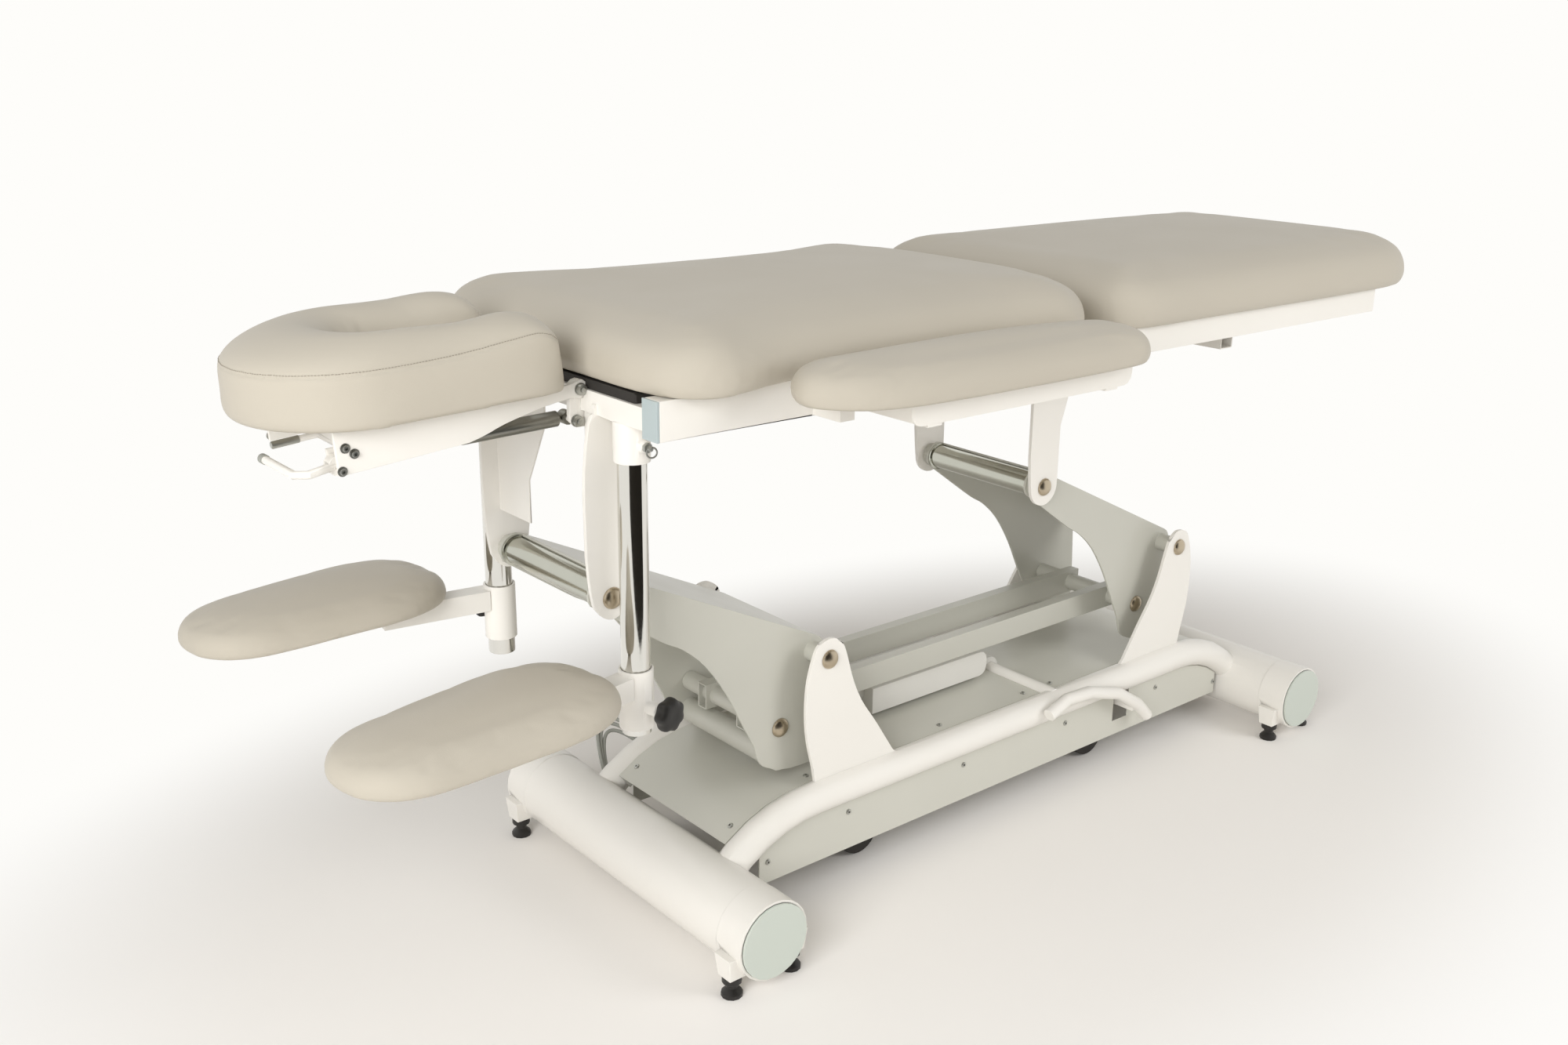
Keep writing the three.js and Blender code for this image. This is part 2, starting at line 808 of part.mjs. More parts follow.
function dragLink() {
  const z = pivotZ - linkDrop;
  const head = pivotHead - linkBack;
  const foot = pivotFoot - linkBack;
  const bars = sides.map((side) => {
    const y = side * (linkBarOuter - linkBarWidth / 2);
    const inner = linkBarWidth / 2 - linkBarWall;
    const innerZ = linkBarHeight / 2 - linkBarWall;
    const outer = block(
      head - linkBarEnd,
      foot + linkBarEnd,
      y - linkBarWidth / 2,
      y + linkBarWidth / 2,
      z - linkBarHeight / 2,
      z + linkBarHeight / 2,
    );
    const inside = block(
      head - linkBarEnd - overrun,
      foot + linkBarEnd + overrun,
      y - inner,
      y + inner,
      z - innerZ,
      z + innerZ,
    );
    return outer.subtract(inside);
  });
  const half = armHalf - armPlate - gap;
  const sleeves = [head, foot].map((x) => rod('y', [x, z], bossRadius, -half, half));
  return cut(joined([...bars, ...sleeves]), [pinBore(head, z), pinBore(foot, z)]);
}

function pin(x, z, outerFace) {
  const half = outerFace + gap;
  const dome = [[0.38, 0.92], [0.72, 0.66], [0.94, 0.27], [1, 0]];
  const cap = dome.map(([r, h]) => [r * pinHead, half + h * pinDome]);
  const foot = dome.map(([r, h]) => [r * pinHead, -half - h * pinDome]);
  const profile = [
    [0, -half - pinDome],
    ...foot,
    [pinRadius, -half],
    [pinRadius, half],
    ...cap.reverse(),
    [0, half + pinDome],
  ];
  return solid(lathe(profile, pinSides).translate(x, 0, z));
}

// Actuator
function actuatorBody() {
  const corner = (z, start) => arc(motorFoot - motorCorner, z, motorCorner, start, start + 90, 3);
  const housing = uprightPlate([
    [motorHead, motorBottom],
    ...corner(motorBottom + motorCorner, -90),
    ...corner(motorTop - motorCorner, 0),
    [motorHead, motorTop],
  ], -motorHalf, motorHalf);
  const lug = block(motorFoot - motorCorner, crossTubeX, -lugHalf, lugHalf, motorBottom, motorBottom + lugHeight);
  const eye = rod('y', [crossTubeX, crossTubeZ], lugRadius, -lugHalf, lugHalf);
  const thrust = rod('x', [0, actuatorZ], thrustRadius, thrustEnd, motorHead + overrun);
  return cut(joined([housing, lug, eye, thrust]), [
    rod('y', [crossTubeX, crossTubeZ], crossTubeRadius + strokePlay, -motorHalf, motorHalf),
    rod('x', [0, actuatorZ], strokeRadius + strokePlay, thrustEnd - overrun, strokeDepth),
  ]);
}

function actuatorRod() {
  const blockStart = pushX + clevisReach;
  const shank = rod('x', [0, actuatorZ], strokeRadius, blockStart, strokeInner);
  const eye = [
    ...arc(pushX, actuatorZ, cheekRadius, 90, 270, 6),
    [blockStart + clevisThick, actuatorZ - cheekRadius],
    [blockStart + clevisThick, actuatorZ + cheekRadius],
  ];
  const fork = uprightPlate(eye, -cheekOuter, cheekOuter);
  const slot = block(
    pushX - cheekRadius - overrun,
    blockStart,
    -cheekInner,
    cheekInner,
    actuatorZ - cheekRadius - overrun,
    actuatorZ + cheekRadius + overrun,
  );
  return fork.subtract(slot).add(shank);
}

// Top frame with its hangers and post sleeves
const headHangerShares = [
  [-0.54, 0.955],
  [-0.77, 0.9],
  [-0.98, 0.64],
  [-0.98, 0.4],
  [-0.95, 0.19],
  [-0.78, -0.006],
  [-0.61, -0.056],
  [-0.35, -0.098],
];
const footHangerShares = [[-1.02, 1], [-1.02, 0.6], [-0.99, 0.2], [-0.92, 0.08]];
const footHangerFarShares = [[0.84, 0.05], [0.83, 0.22], [0.83, 0.385], [1.19, 0.55], [1.25, 0.7], [1.25, 1]];

function hanger(end, side) {
  const x = end < 0 ? hangerX : hangerX + pivotSpread;
  const place = ([a, b]) => [x + a * hangerHalf, hangerZ + b * hangerRise];
  const head = headHangerShares.map(place);
  const mirroredHead = headHangerShares.map(([a, b]) => place([-a, b])).reverse();
  const headSides = eased([...head, [x, hangerZ - hangerHeadFoot], ...mirroredHead], 34);
  const headTop = [place([headHangerShares.at(0)[0], 1]), ...headSides];
  const headOutline = [...headTop, place([-headHangerShares.at(0)[0], 1])];
  const footEye = arc(x, hangerZ, hangerFoot, 190, 355, 12);
  const footOutline = [...footHangerShares.map(place), ...footEye, ...footHangerFarShares.map(place)];
  const outline = end < 0 ? headOutline : footOutline;
  const y = side * (hangerOuter - hangerThick / 2);
  const plate = uprightPlate(outline, y - hangerThick / 2, y + hangerThick / 2);
  return plate.subtract(pinBore(x, hangerZ));
}

const farGussetShares = [[1, 0], [0.36, 0], [0.36, 0.3], [0.16, 0.54], [0, 0.73], [0, 1], [1, 1]];
const nearGussetShares = [[1, 0], [0.77, 0], [0.77, 1], [1, 1]];

function gusset(side) {
  const rise = (headBeamBottom + headBeamTop) / 2 - gussetLow;
  const shares = side < 0 ? nearGussetShares : farGussetShares;
  const outline = shares.map(([a, b]) => [side * a * gussetReach, gussetLow + b * rise]);
  return crossPlate(side < 0 ? outline : outline.reverse(), gussetX - gussetThick / 2, gussetX + gussetThick / 2);
}

function headLug(side) {
  const eyeX = headHingeX;
  const low = gasAnchorZ - gasEyeRadius;
  const root = frameHead + headEye;
  const outline = [
    ...arc(eyeX, headHingeZ, headEye, 60, 200, 5),
    [gasAnchorX - gasEyeRadius, gasAnchorZ],
    [gasAnchorX, low],
    [root, low],
    [root, headHingeZ],
  ];
  const outer = headPlateOuter - headPlateThick - gap;
  const y = side * (outer - hingeLugThick / 2);
  const plate = uprightPlate(outline, y - hingeLugThick / 2, y + hingeLugThick / 2);
  const pinEnd = headPlateOuter + gap;
  const hinge = rod('y', [eyeX, headHingeZ], hingePinRadius, ...between(side, outer - hingeLugThick, pinEnd), pinSides);
  const solidLug = plate.add(hinge);
  if (side > 0) return solidLug;
  const anchor = between(side, gasY - gasEyeHalf - gap, outer);
  return solidLug.add(rod('y', [gasAnchorX, gasAnchorZ], gasPinRadius, ...anchor, pinSides));
}

// A span from a to b on one side of the middle, in rising order
function between(side, a, b) {
  return side < 0 ? [-b, -a] : [a, b];
}

function frameRail(side) {
  const [y0, y1] = between(side, frameOuter - frameWidth, frameOuter);
  return block(frameHead, frameFoot, y0, y1, frameBottom, frameTop);
}

function frameRailBore(side) {
  const [y0, y1] = between(side, frameOuter - frameWidth + frameWall, frameOuter - frameWall);
  return block(frameHead - overrun, frameFoot + overrun, y0, y1, frameBottom + frameWall, frameTop - frameWall);
}

function topFrame() {
  const inner = frameOuter - frameWidth / 2;
  const headBeam = block(frameHead, frameHead + headBeamWidth, -inner, inner, headBeamBottom, headBeamTop);
  const footBeam = block(frameFoot - footBeamWidth, frameFoot, -inner, inner, headBeamBottom, headBeamTop);
  const stubs = sides.map((side) => {
    const middle = hangerOuter - hangerThick / 2;
    const [y0, y1] = between(side, middle - footStubHalf, middle + footStubHalf);
    return block(frameFoot - overrun, frameFoot + footStubReach, y0, y1, headBeamBottom, headBeamTop);
  });
  const half = stayTubeSize / 2;
  const stay = block(stayTubeX - half, stayTubeX + half, -stayTubeHalf, stayTubeHalf, frameBottom + gap, frameBottom + stayTubeSize);
  const sleeves = sides.map((side) => rod('z', [postX, side * postY], sleeveOuter, sleeveBottom, headBeamBottom + gap, round));
  const pinBosses = sides.map((side) => rod(
    'y',
    [postX, pullPinZ],
    pullBossRadius,
    ...between(side, postY + postRadius, postY + pullBossEnd),
    pinSides,
  ));
  const legLugs = sides.map((side) => {
    const [y0, y1] = between(side, legLugOuter + gap, legLugOuter + gap + legLugThick);
    const lugEnd = arc(legHingeX, legHingeZ, legLugRadius, -90, 90, 6);
    const root = frameFoot - overrun;
    const plate = uprightPlate([[root, legHingeZ - legLugRadius], ...lugEnd, [root, legHingeZ + legLugRadius]], y0, y1);
    const stub = between(side, legLugOuter - legLugThick - gap, legLugOuter + legLugThick);
    return plate.add(rod('y', [legHingeX, legHingeZ], hingePinRadius, ...stub, pinSides));
  });
  const wingSlots = [wingTubeHead, wingTubeFoot].flatMap((x) => sides.map((side) => {
    const reach = wingTubeSize / 2 + gap;
    const [y0, y1] = between(side, frameOuter - frameWidth - overrun, frameOuter + overrun);
    return block(x - reach, x + reach, y0, y1, wingTubeBottom - gap, wingTubeBottom + wingTubeSize + gap);
  }));
  const eyeNotches = sides.map((side) => {
    const [y0, y1] = between(side, headPlateOuter - headPlateThick - gap, headPlateOuter + gap + gap);
    return rod('y', [headHingeX, headHingeZ], headEye + gap, y0, y1);
  });
  const posts = sides.flatMap((side) => [
    rod('z', [postX, side * postY], postRadius + gap, sleeveBottom - overrun, headBeamBottom, tubeSides),
    rod('y', [postX, pullPinZ], pullPinRadius + pullPinPlay, ...between(side, postY, postY + pullBossEnd + overrun), pinSides),
  ]);
  const hollow = cut(joined([...sides.map(frameRail), headBeam, footBeam, stay]), sides.map(frameRailBore));
  const welded = joined([
    cut(hollow, eyeNotches),
    ...stubs,
    ...sleeves,
    ...pinBosses,
    ...legLugs,
    ...sides.map(headLug),
    ...sides.map(gusset),
    ...ends.flatMap((end) => sides.map((side) => hanger(end, side))),
  ]);
  return cut(welded, [...wingSlots, ...posts]);
}

function railCap(side) {
  const [y0, y1] = between(side, frameOuter - frameWidth, frameOuter);
  return block(frameHead - gap - railCapThick, frameHead - gap, y0, y1, frameBottom, frameTop);
}

// Posts and forearm rests
function post(side) {
  const shaft = rod('z', [0, 0], postRadius, postBottom, headBeamBottom - gap, tubeSides);
  const bore = rod('z', [0, 0], postBore, postBottom - overrun, headBeamBottom, tubeSides);
  const pinHole = rod('y', [0, pullPinZ], pullPinRadius + pullPinPlay, ...between(side, 0, postRadius + overrun), pinSides);
  return cut(shaft, [bore, pinHole]);
}

function pullPin(side) {
  const end = pullBossEnd + gap;
  const stem = rod('y', [0, pullPinZ], pullPinRadius, ...between(side, pullPinTip, end + overrun), pinSides);
  const knob = rod('y', [0, pullPinZ], pullKnobRadius, ...between(side, end, end + pullKnobLength), pinSides);
  return stem.add(knob);
}

// The rest's own frame: X along its arm away from the post, Z from the sleeve's lower end
function restArm(side) {
  const sleeve = rod('z', [0, 0], restSleeveOuter, 0, restSleeveLength, round);
  const half = restTubeSize / 2;
  const arm = block(postRadius, restTubeReach, -half, half, restTubeLow, restTubeLow + restTubeSize);
  const bossSpan = between(side, postRadius, knobBossEnd);
  const boss = rod('y', [0, knobHeight], knobBossRadius, ...bossSpan, pinSides);
  return cut(joined([sleeve, arm, boss]), [
    rod('z', [0, 0], postRadius + postPlay, -overrun, restSleeveLength + overrun, tubeSides),
    rod('y', [0, knobHeight], knobStem + pullPinPlay, ...between(side, 0, knobBossEnd + overrun), pinSides),
  ]);
}

const lobeDepthShare = 0.11;

function starKnob(side) {
  const outline = [];
  const count = knobLobes * 4;
  for (let i = 0; i < count; i++) {
    const angle = 2 * Math.PI * i / count;
    const radius = knobRadius * (1 - lobeDepthShare * (1 - Math.cos(knobLobes * angle)));
    outline.push([radius * Math.sin(angle), knobHeight + radius * Math.cos(angle)]);
  }
  const disc = uprightPlate(outline.reverse(), ...between(side, knobStart, knobStart + knobThick));
  return disc.add(rod('y', [0, knobHeight], knobStem, ...between(side, knobStemStart, knobStart + overrun), pinSides));
}

const restOutlineShares = [
  // along the pad from its post end, half width as a share of the largest
  [0, 0.3],
  [0.035, 0.6],
  [0.1, 0.82],
  [0.2, 0.96],
  [0.32, 1],
  [0.5, 0.96],
  [0.7, 0.91],
  [0.84, 0.83],
  [0.93, 0.64],
  [0.985, 0.36],
  [1, 0.15],
];

function restCushion(skew) {
  const turn = THREE.MathUtils.degToRad(skew);
  const half = restOutlineShares.map(([a, b]) => [(a - 0.5) * restCushionLength, b * restCushionWidth / 2]);
  const outline = mirrored(half).map(([x, y]) => [
    restCushionOffset + x * Math.cos(turn) - y * Math.sin(turn),
    x * Math.sin(turn) + y * Math.cos(turn),
  ]);
  const bottom = restTubeLow + restTubeSize + gap;
  return cushion(outline.reverse(), round + pinSides, bottom, restCushionThick, restRoll);
}

function forearmRest(side) {
  const name = side < 0 ? 'near' : 'far';
  const lift = side < 0 ? restNearLift : restFarLift;
  const turn = side < 0 ? restNearTurn : restFarTurn;
  const column = new THREE.Group();
  column.position.set(postX, side * postY, 0);
  column.add(piece(`${name}_rest_post`, post(side), chrome));
  column.add(piece(`${name}_pull_pin`, pullPin(side), steel));
  const rest = new THREE.Group();
  rest.position.z = postBottom + lift;
  rest.rotation.z = Math.PI - side * THREE.MathUtils.degToRad(turn);
  rest.add(piece(`${name}_rest_arm`, restArm(-side), white));
  rest.add(piece(`${name}_clamp_knob`, starKnob(-side), black));
  rest.add(piece(`${name}_rest_cushion`, restCushion(side < 0 ? restNearSkew : restFarSkew), vinyl));
  column.add(rest);
  return column;
}

// Head section in its own frame: origin on the hinge, X towards the foot end
function headSeatAt(x) {
  return headSeat - headPadSlope * (headPadLevel + x);
}

const headPlateTaperShares = [
  // the lower edge rising to the hinge: X as a share of the reach, Z of the drop
  [0.49, 1],
  [0.42, 0.86],
  [0.34, 0.64],
  [0.2, 0.4],
  [0.12, 0.32],
];

function headPlate(side) {
  const seatStart = -headEye - headPlateThick;
  const outline = [
    ...arc(0, 0, headEye, 225, 425, 6),
    [seatStart, headSeatAt(seatStart)],
    [-headPlateReach, headSeatAt(-headPlateReach)],
    [-headPlateReach, -headPlateDrop],
    ...eased(headPlateTaperShares.map(([a, b]) => [-a * headPlateReach, -b * headPlateDrop]), 10),
  ];
  const [y0, y1] = between(side, headPlateOuter - headPlateThick, headPlateOuter);
  const bore = rod('y', [0, 0], hingePinRadius + pinPlay, -legHalf, legHalf, pinSides);
  return uprightPlate(outline, y0, y1).subtract(bore);
}

function headFrame() {
  const inner = headPlateOuter - headPlateThick / 2;
  const low = headSeat - restTubeSize;
  const rear = block(-headNeck - restTubeSize, -headNeck, -inner, inner, low, headSeatAt(-headNeck));
  const front = block(-handleStart + headEye, -handleStart + headEye + restTubeSize, -inner, inner, low, headSeat);
  const gasBar = rod('y', [-gasBarBack, -gasBarDrop], gasPinRadius, -inner, inner, pinSides);
  const steelRod = rod('x', [0, -steelRodDrop], steelRodRadius, -steelRodTip, -handleStart + headEye + overrun, pinSides);
  const handleLug = block(
    -handleStart - handleRadius,
    -handleStart + headEye + overrun,
    -handleNear + handleRadius + handleRadius + gap,
    -handleNear + handleRadius + handleRadius + headPlateThick,
    -handleDrop - handleRadius,
    -handleDrop + headEye + overrun,
  );
  const lugPin = rod('y', [-handleStart, -handleDrop], steelRodRadius, -handleOuter, -handleNear + headEye, pinSides);
  return joined([...sides.map(headPlate), rear, front, gasBar, steelRod, handleLug, lugPin]);
}

// U-shaped grip under the head cushion's end, turning on its lug's pin
function releaseHandle() {
  const points = [
    [-handleStart, -handleNear, -handleDrop],
    [-handleReach + headEye, -handleOuter, -handleDrop],
    [-handleReach, -handleOuter + headEye, -handleDrop],
    [-handleReach, handleFar, -handleDrop],
  ];
  const grip = tube(points, handleRadius, pinSides);
  const hub = rod('y', [-handleStart, -handleDrop], headEye, -handleNear - handleRadius, -handleNear + handleRadius + handleRadius, pinSides);
  const bore = rod('y', [-handleStart, -handleDrop], steelRodRadius + pinPlay, -headPlateOuter, 0, pinSides);
  return grip.add(hub).subtract(bore);
}

// Gas spring, lying from its anchor on the top frame towards the head end
function gasSpan() {
  const tilt = THREE.MathUtils.degToRad(headTilt);
  const barX = headHingeX - gasBarBack * Math.cos(tilt) + gasBarDrop * Math.sin(tilt);
  const barZ = headHingeZ - gasBarBack * Math.sin(tilt) - gasBarDrop * Math.cos(tilt);
  return { length: Math.hypot(gasAnchorX - barX, gasAnchorZ - barZ), angle: Math.atan2(gasAnchorZ - barZ, gasAnchorX - barX) };
}

function gasBody() {
  const bodyStart = gasEyeRadius + overrun;
  const barrel = rod('x', [0, 0], gasRadius, -bodyStart - gasBodyLength, -bodyStart);
  const eye = rod('y', [0, 0], gasEyeRadius, -gasEyeHalf, gasEyeHalf);
  const neck = rod('x', [0, 0], gasRodRadius, -bodyStart - overrun, 0, pinSides);
  return cut(joined([barrel, eye, neck]), [
    rod('y', [0, 0], gasPinRadius + pinPlay, -gasRadius, gasRadius, pinSides),
    rod('x', [0, 0], gasRodRadius + pinPlay, -bodyStart - gasBodyLength - overrun, -bodyStart - overrun, pinSides),
  ]);
}

function gasRod() {
  const { length } = gasSpan();
  const inner = gasEyeRadius + overrun + gasBodyLength - gasRodInner;
  const eye = rod('y', [-length, 0], gasEyeRadius, -gasEyeHalf, gasEyeHalf);
  const shank = rod('x', [0, 0], gasRodRadius, -length, -inner, pinSides);
  return eye.add(shank).subtract(rod('y', [-length, 0], gasPinRadius + gasEyePlay, -gasRadius, gasRadius, pinSides));
}

const headSectionShares = [
  // across the roll from the inner lower edge outwards: width share, then height,
  // 0 to 1 up the side band and 1 to 2 over the top panel
  [-0.86, 0],
  [-1, 0.15],
  [-1, 0.6],
  [-0.93, 1],
  [-0.7, 1.58],
  [-0.35, 1.91],
  [0, 2],
  [0.45, 1.79],
  [0.82, 1.41],
  [1, 1],
  [1.04, 0.55],
  [1.05, 0.15],
  [0.97, 0],
];
const headRunShares = [
  // along the straight sides from the hinge end: width, crown height and band height
  [0, 0.74, 0.74, 0.6],
  [0.05, 0.86, 0.86, 0.7],
  [0.14, 0.96, 0.95, 0.76],
  [0.3, 1, 1, 0.74],
  [0.6, 1, 0.97, 0.68],
];
const headEndBand = 0.645;

// Horseshoe cushion: a padded section swept round the face hole, wider at the head end
function headCushion() {
  const outerCentre = -(headCushionEnd - headCushionHalf);
  const innerCentre = -(headHoleEnd - headHoleHalf);
  const onRun = (side) => ([along, wide, high, band]) => ({
    outer: [-headCushionStart + along * (outerCentre + headCushionStart), side * headCushionHalf],
    inner: [-headCushionStart + along * (innerCentre + headCushionStart), side * headHoleHalf],
    wide,
    high,
    band,
  });
  const stations = headRunShares.map(onRun(-1));
  const steps = 12;
  for (let i = 0; i <= steps; i++) {
    const angle = -Math.PI / 2 - Math.PI * i / steps;
    const out = [Math.cos(angle), Math.sin(angle)];
    stations.push({
      outer: [outerCentre + out[0] * headCushionHalf, out[1] * headCushionHalf],
      inner: [innerCentre + out[0] * headHoleHalf, out[1] * headHoleHalf],
      wide: 1,
      high: 1,
      band: headEndBand,
    });
  }
  stations.push(...headRunShares.map(onRun(1)).reverse());
  const sections = stations.map(({ outer, inner, wide, high, band }) => headSectionShares.map(([a, b]) => {
    const x = (outer[0] + inner[0]) / 2 + a * wide * (outer[0] - inner[0]) / 2;
    const y = (outer[1] + inner[1]) / 2 + a * wide * (outer[1] - inner[1]) / 2;
    const share = b < 1 ? b * band : band + (b - 1) * (high - band);
    return new THREE.Vector3(x, y, headSeatAt(x) + gap + share * headCrown);
  }));
  sections.forEach((section) => section.reverse());
  const centre = (section) => section.reduce((sum, p) => sum.add(p), new THREE.Vector3()).divideScalar(section.length);
  return stackedRings(sections, centre(sections[0]).toArray(), centre(sections.at(-1)).toArray());
}

function headSection() {
  const section = new THREE.Group();
  section.position.set(headHingeX, 0, headHingeZ);
  section.rotation.y = -THREE.MathUtils.degToRad(headTilt);
  section.add(piece('head_frame', headFrame(), white));
  section.add(piece('head_cushion', headCushion(), vinyl));
  section.add(piece('head_release_handle', releaseHandle(), white));
  return section;
}

function gasSpring() {
  const spring = new THREE.Group();
  spring.position.set(gasAnchorX, -gasY, gasAnchorZ);
  spring.rotation.y = -gasSpan().angle;
  spring.add(piece('gas_spring_body', gasBody(), black));
  spring.add(piece('gas_spring_rod', gasRod(), steel));
  return spring;
}

// Torso cushion and wings share the waist curve
const waistShares = [
  // X as a share of the torso length from its foot edge, half width as a share of the largest
  [0.168, 0.965],
  [0.26, 0.9],
  [0.48, 0.873],
  [0.7, 0.9],
  [0.785, 0.925],
];
const torsoFootShares = [[0, 0.3], [0.012, 0.6], [0.045, 0.8], [0.09, 0.915], [0.135, 0.965]];
const torsoHeadShares = [[0.862, 0.98], [0.898, 1], [0.945, 0.975], [0.983, 0.865], [1, 0.66], [1, 0.28]];

function waist() {
  return waistShares.map(torsoPlace);
}

function torsoPlace([a, b]) {
  return [torsoFoot - a * torsoLength, b * torsoHalf];
}

function torsoCushion() {
  const half = [...torsoFootShares.map(torsoPlace), ...waist(), ...torsoHeadShares.map(torsoPlace)];
  return cushion(mirrored(half), round + round, frameTop + gap, torsoThick);
}

const wingWaistShares = [0.94, 0.84, 0.7, 0.56, 0.42, 0.28, 0.15, 0.07];
const wingRimShares = [
  // X as a share of the wing's length from its foot end, then how far out from the
  // inner edge there, as a share of the way to the outer edge
  [0.015, 0.2],
  [0, 0.47],
  [0.012, 0.77],
  [0.06, 0.94],
  [0.2, 0.993],
  [0.47, 1],
  [0.7, 0.98],
  [0.83, 0.93],
  [0.92, 0.81],
  [0.975, 0.6],
  [1, 0.38],
  [0.985, 0.16],
];

// Half width of the torso cushion at a place, from the waist's points
function waistAt(x) {
  const points = [...torsoFootShares.slice(-1).map(torsoPlace), ...waist(), ...torsoHeadShares.slice(0, 1).map(torsoPlace)];
  const next = Math.max(1, points.findIndex(([place]) => place < x));
  const [x0, y0] = points[next - 1];
  const [x1, y1] = points[next];
  return y0 + (y1 - y0) * (x - x0) / (x1 - x0);
}

function wingCushion(side) {
  const place = ([a, b]) => {
    const x = wingFoot - a * (wingFoot - wingHead);
    const inner = waistAt(x) + wingGap;
    return [x, side * (inner + b * (wingOuter - inner))];
  };
  const inner = wingWaistShares.map((a) => place([a, 0]));
  const outline = [...inner, ...wingRimShares.map(place)];
  if (side < 0) outline.reverse();
  return cushion(outline, round + pinSides, wingBottom, wingThick, wingRoll);
}

function wingFrame(side) {
  const seat = wingBottom - gap;
  const corner = wingPlateCorner;
  const outline = [
    [wingPlateHead, seat],
    ...arc(wingPlateHead + corner, wingPlateBottom + corner, corner, 180, 270, 3),
    ...arc(wingPlateFoot - corner, wingPlateBottom + corner, corner, 270, 360, 3),
    [wingPlateFoot, seat],
  ];
  const plate = uprightPlate(outline, ...between(side, wingPlateY, wingPlateY + wingPlateThick));
  const [f0, f1] = between(side, wingPlateY - wingFlange, wingPlateY + wingPlateThick / 2);
  const flange = block(wingPlateHead, wingPlateFoot, f0, f1, seat - wingPlateThick, seat);
  const tubes = [wingTubeHead, wingTubeFoot].map((x) => {
    const reach = wingTubeSize / 2;
    const [y0, y1] = between(side, wingTubeInner, wingPlateY + wingPlateThick / 2);
    return block(x - reach, x + reach, y0, y1, wingTubeBottom, wingTubeBottom + wingTubeSize);
  });
  const webs = [wingTubeHead, wingTubeFoot].map((x) => {
    const reach = wingTubeSize / 2;
    const [y0, y1] = between(side, wingPlateY - wingFlange, wingPlateY);
    return block(x - reach, x + reach, y0, y1, wingTubeBottom + wingTubeSize / 2, seat - wingPlateThick / 2);
  });
  return joined([plate, flange, ...tubes, ...webs]);
}

function addWing(group, side) {
  const name = side < 0 ? 'near' : 'far';
  group.add(piece(`${name}_wing_frame`, wingFrame(side), white));
  group.add(piece(`${name}_wing_cushion`, wingCushion(side), vinyl));
}

// Leg section
const legOutlineShares = [
  // X as a share of the length from the foot end, half width as a share of the largest
  [0, 0.3],
  [0.004, 0.66],
  [0.035, 0.87],
  [0.1, 0.965],
  [0.25, 1],
  [0.75, 1],
  [0.935, 0.985],
  [0.983, 0.89],
  [0.998, 0.66],
  [1, 0.3],
];

function legCushion() {
  const length = legFoot - legHead;
  const half = legOutlineShares.map(([a, b]) => [legFoot - a * length, b * legHalf]);
  return cushion(mirrored(half), round + tubeSides, legBottom, legThick);
}

function legFrame() {
  const seat = legBottom - gap;
  const plates = sides.map((side) => {
    const [y0, y1] = between(side, frameOuter - legFrameThick, frameOuter);
    return block(legFrameStart, legFrameFoot, y0, y1, legFrameBottom, seat);
  });
  const inner = frameOuter - legFrameThick / 2;
  const beams = [legBeamFirst, catchTubeX - legBeamWidth / 2, legBeamLast].map((x) => (
    block(x, x + legBeamWidth, -inner, inner, seat - legBeamHeight, seat)
  ));
  const lugs = sides.map((side) => {
    const [y0, y1] = between(side, legLugOuter - legLugThick, legLugOuter);
    const eye = arc(legHingeX, legHingeZ, legLugRadius, 90, 270, 6);
    const end = legHingeX + legLugReach;
    const lug = uprightPlate([...eye, [end, legHingeZ - legLugRadius], [end, legHingeZ + legLugRadius]], y0, y1);
    const [t0, t1] = between(side, legLugOuter - legLugThick, inner);
    const tie = block(end - legBeamHeight, legBeamFirst + overrun, t0, t1, legHingeZ - legLugRadius, legHingeZ + legLugRadius);
    return lug.add(tie);
  });
  const half = catchTubeWidth / 2;
  const catchTop = catchTubeBottom + catchTubeHeight;
  const catchTube = block(catchTubeX - half, catchTubeX + half, -catchTubeHalf, catchTubeHalf, catchTubeBottom, catchTop);
  const catchBore = block(
    catchTubeX - half + frameWall,
    catchTubeX + half - frameWall,
    -catchTubeHalf - overrun,
    catchTubeHalf + overrun,
    catchTubeBottom + frameWall,
    catchTop - frameWall,
  );
  const straps = sides.map((side) => {
    const [y0, y1] = between(side, catchTubeHalf - catchStrap, catchTubeHalf);
    return block(catchTubeX - half, catchTubeX + half, y0, y1, catchTop - frameWall / 2, seat - legBeamHeight / 2);
  });
  const bore = rod('y', [legHingeX, legHingeZ], hingePinRadius + pinPlay, -frameOuter, frameOuter, pinSides);
  return cut(joined([...plates, ...beams, ...lugs, catchTube.subtract(catchBore), ...straps]), [bore]);
}

// Castors and their pedal
function carriage() {
  const z = wheelLift + wheelRadius;
  const top = carriageBottom + carriageHeight;
  const half = carriageHeight / 2;
  const spine = block(wheelHead - half, wheelFoot + half, -carriageHalf, carriageHalf, carriageBottom, top);
  const bogies = [wheelHead, wheelFoot].flatMap((x) => {
    const yoke = wheelY - wheelWidth / 2 - hubClear;
    return [
      block(x - half, x + half, -yoke, yoke, z - half, top),
      rod('y', [x, z], axleRadius, -wheelY - wheelWidth / 2, wheelY + wheelWidth / 2, pinSides),
      block(x - half, x + half, -half, half, top - overrun, carriagePostTop),
    ];
  });
  return joined([spine, ...bogies]);
}

function wheel(x, side) {
  const [y0, y1] = between(side, wheelY - wheelWidth / 2, wheelY + wheelWidth / 2);
  const z = wheelLift + wheelRadius;
  const tyre = rod('y', [x, z], wheelRadius, y0, y1, round);
  return tyre.subtract(rod('y', [x, z], axleRadius + pinPlay, y0 - overrun, y1 + overrun, pinSides));
}

